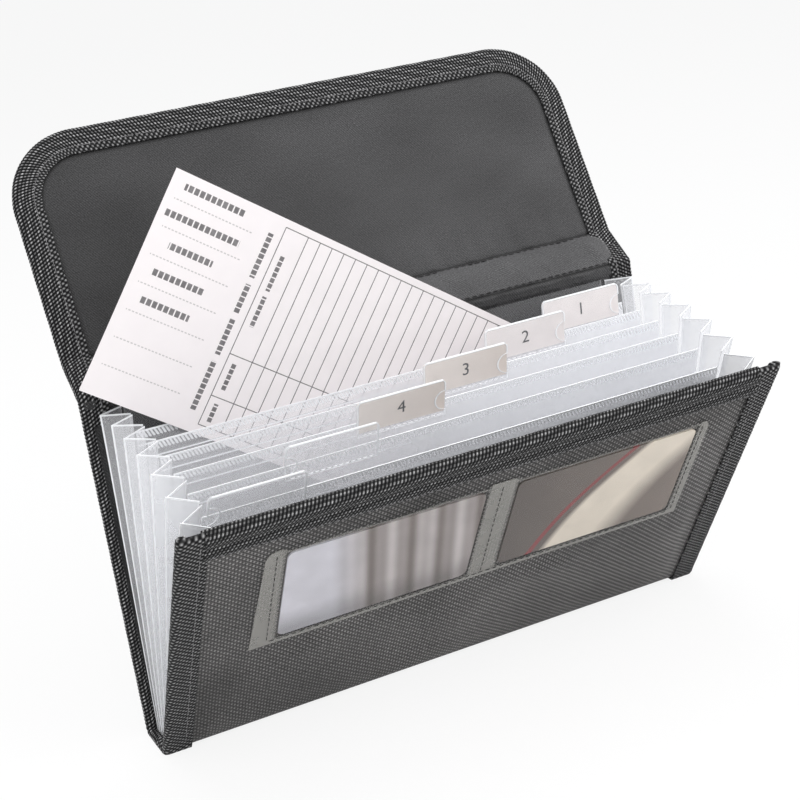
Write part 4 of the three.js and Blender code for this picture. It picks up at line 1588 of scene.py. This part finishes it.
def numeral(text, panel, x, depth, height, tall):
    """A plain index number laid on a panel, as a thin mesh from the built-in typeface."""
    curve = bpy.data.curves.new(f"numeral_{text}", "FONT")
    curve.body = text
    curve.size = tall
    curve.align_x = "CENTER"
    curve.align_y = "CENTER"
    curve.extrude = 0.015 * MM
    holder = bpy.data.objects.new("numeral_holder", curve)
    bpy.context.scene.collection.objects.link(holder)
    bpy.context.view_layer.update()
    mesh = bpy.data.meshes.new_from_object(holder)
    bpy.data.objects.remove(holder)
    axes = np.stack((np.array((1.0, 0.0, 0.0)), panel.up, -panel.back), axis=1)
    place = Matrix.Identity(4)
    for row in range(3):
        place[row][:3] = axes[row]
        place[row][3] = panel.at(x, depth, height)[row]
    mesh.transform(place)
    piece = bpy.data.objects.new(f"label_number_{text}", mesh)
    bpy.context.scene.collection.objects.link(piece)
    return piece


class ORGANIZER_OT_papers(bpy.types.Operator):
    """Labels with plain index numbers, and the ruled log sheet standing in its pocket"""

    bl_idname = "organizer.papers"
    bl_label = "Papers"

    def execute(self, context):
        """Builds the papers."""
        size = sizes()
        for k in range(1, 5):
            name = f"label_{k}"
            low, high = LEAVES[k].extent(name)
            ends = (float(low[0]), float(high[0]))
            pale = 0.7 if k <= 2 else 0.1
            wear(frame["nodes"][name], f"label paper {k}", lambda title: label_finish(title, *ends, pale))
            centre = (low + high) / 2
            piece = numeral(str(k), LEAVES[k], centre[0], low[1] - 0.03 * MM, centre[2], 8 * MM)
            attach(piece, name)
            wear(piece, "label print", print_finish)

        leaf = LEAVES[1]
        shape = leaf.measure("log_sheet")
        left = shape[np.argmin(shape[:, 0])]
        depth = float((shape[:, 1].min() + shape[:, 1].max()) / 2)
        run = np.array((math.cos(size.sheet_tilt), -math.sin(size.sheet_tilt)))
        rise = np.array((math.sin(size.sheet_tilt), math.cos(size.sheet_tilt)))
        u = spread(0.0, size.sheet_length, 4 * MM)[None, :]
        v = spread(0.0, size.sheet_width, 4 * MM)[:, None]
        x = left[0] + run[0] * u + rise[0] * (size.sheet_width - v)
        h = left[2] + run[1] * u + rise[1] * (size.sheet_width - v)
        curl = 1.2 * MM * smooth(60 * MM, 0.0, u) * smooth(70 * MM, 0.0, v)
        ply = 0.09 * MM
        front, back = leaf.at(x, depth - ply + curl, h), leaf.at(x, depth + ply + curl, h)
        piece = slab("log_paper", front, back, (u, v))
        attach(piece, "log_sheet")
        leaf.at(0.0, 0.0, 0.0)
        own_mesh(piece)
        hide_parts("log_sheet")
        wear(piece, "log paper", paper_finish)
        return {"FINISHED"}


class ORGANIZER_OT_boards(bpy.types.Operator):
    """Finish of the stiffening boards, which stay as they are inside the cover"""

    bl_idname = "organizer.boards"
    bl_label = "Boards"

    def execute(self, context):
        """Colours the boards."""
        for name in ("back_board", "front_board", "flap_board"):
            wear(frame["nodes"][name], "board", board_finish)
        return {"FINISHED"}


# Stage


AIM = np.array((0.0, 0.0, 0.12))
LAMPS = (
    ("key lamp", (-0.55, -0.75, 1.15), 0.9, 7.4),
    ("fill lamp", (0.8, -0.6, 0.85), 1.0, 6.6),
    ("top lamp", (0.05, 0.35, 1.45), 1.2, 7.0),
)
FLOOR_REACH = 30.0
FLOOR_DROP = 0.05 * MM
FLOOR_GREY = (0.93, 0.93, 0.93, 1.0)
WHITE = (1.0, 1.0, 1.0, 1.0)
CAMERA_PLACE = (-0.28152, -0.62494, 0.35599)
CAMERA_RIGHT = (0.8887, -0.44297, -0.11831)
CAMERA_UP = (0.2464, 0.24381, 0.93799)
CAMERA_LENS = 76.137


def facing(right, up):
    """Turn of a lamp or camera whose right and up directions are given."""
    return Matrix(np.stack((right, up, np.cross(right, up)), axis=1).tolist()).to_euler()


def lamp(name, place, side, power):
    """A square lamp turned to face the object."""
    light = bpy.data.lights.new(name, "AREA")
    light.size = side
    light.energy = power
    holder = bpy.data.objects.new(name, light)
    holder.location = place
    way = np.array(place) - AIM
    way = way / np.linalg.norm(way)
    across = np.cross((0.0, 0.0, 1.0), way)
    across = across / np.linalg.norm(across)
    holder.rotation_euler = facing(across, np.cross(way, across))
    bpy.context.scene.collection.objects.link(holder)


class ORGANIZER_OT_stage(bpy.types.Operator):
    """Pale floor, soft lamps, white surroundings and the camera of the photograph"""

    bl_idname = "organizer.stage"
    bl_label = "Stage"

    def execute(self, context):
        """Sets the stage."""
        scene = context.scene
        square = FLOOR_REACH * np.array(((-1.0, -1.0, 0), (1.0, -1.0, 0), (1.0, 1.0, 0), (-1.0, 1.0, 0)))
        floor = mesh_object("floor", square - (0, 0, FLOOR_DROP), np.array(((0, 1, 2, 3),)), square[:, :2])
        make = Finish("floor")
        colour = make.shade(FLOOR_GREY, make.tone(make.object_place(), 3.0, 0.02))
        make.finish(Base_Color=colour, Roughness=0.9, Specular_IOR_Level=0.1)
        white = make.node("ShaderNodeEmission", {0: WHITE, 1: 1.0}).outputs[0]
        share = make.times(make.seen(), 0.85)
        both = make.node("ShaderNodeMixShader", {0: share, 1: make.surface.outputs[0], 2: white})
        make.put(make.tree.nodes["Material Output"].inputs["Surface"], both.outputs[0])
        floor.data.materials.append(make.material)

        for row in LAMPS:
            lamp(*row)

        world = bpy.data.worlds.new("surroundings")
        scene.world = world
        world.use_nodes = True
        recipe = Recipe(world.node_tree)
        world.node_tree.nodes.clear()
        soft = recipe.node("ShaderNodeBackground", {0: (0.98, 0.99, 1.0, 1.0), 1: 0.55}).outputs[0]
        white = recipe.node("ShaderNodeBackground", {0: WHITE, 1: 1.0}).outputs[0]
        both = recipe.node("ShaderNodeMixShader", {0: recipe.seen(), 1: soft, 2: white})
        recipe.node("ShaderNodeOutputWorld", {0: both.outputs[0]})

        camera = bpy.data.cameras.new("camera")
        camera.sensor_width = 36.0
        camera.lens = CAMERA_LENS
        camera.clip_start = 0.01
        holder = bpy.data.objects.new("camera", camera)
        holder.location = CAMERA_PLACE
        holder.rotation_euler = facing(CAMERA_RIGHT, CAMERA_UP)
        scene.collection.objects.link(holder)
        scene.camera = holder
        scene.view_settings.view_transform = "Standard"
        scene.cycles.transparent_max_bounces = 40
        return {"FINISHED"}


class ORGANIZER_PT_panel(bpy.types.Panel):
    """Sizes, colours and building steps"""

    bl_idname = "ORGANIZER_PT_panel"
    bl_label = "Document organizer"
    bl_space_type = "VIEW_3D"
    bl_region_type = "UI"
    bl_category = "Organizer"

    def draw(self, context):
        """Lists the settings and the steps."""
        for group in (context.scene.organizer_sizes, context.scene.organizer_colours):
            column = self.layout.column()
            for name in group.__annotations__:
                column.prop(group, name)
        for step in STEPS:
            self.layout.operator(step.bl_idname)


STEPS = (
    ORGANIZER_OT_stage,
    ORGANIZER_OT_boards,
    ORGANIZER_OT_outer_cloth,
    ORGANIZER_OT_lining,
    ORGANIZER_OT_webbing,
    ORGANIZER_OT_stitching,
    ORGANIZER_OT_card_window,
    ORGANIZER_OT_file,
    ORGANIZER_OT_papers,
)
CLASSES = (OrganizerSizes, OrganizerColours, *STEPS, ORGANIZER_PT_panel)


def register():
    """Registers the classes and the scene's settings."""
    for entry in CLASSES:
        bpy.utils.register_class(entry)
    bpy.types.Scene.organizer_sizes = bpy.props.PointerProperty(type=OrganizerSizes)
    bpy.types.Scene.organizer_colours = bpy.props.PointerProperty(type=OrganizerColours)


def unregister():
    """Takes the settings and the classes away again."""
    del bpy.types.Scene.organizer_colours
    del bpy.types.Scene.organizer_sizes
    for entry in reversed(CLASSES):
        bpy.utils.unregister_class(entry)


def main():
    """Builds everything in order."""
    register()
    bpy.ops.organizer.stage()
    bpy.ops.organizer.boards()
    bpy.ops.organizer.outer_cloth()
    bpy.ops.organizer.lining()
    bpy.ops.organizer.webbing()
    bpy.ops.organizer.stitching()
    bpy.ops.organizer.card_window()
    bpy.ops.organizer.file()
    bpy.ops.organizer.papers()


if __name__ == "__main__":
    main()
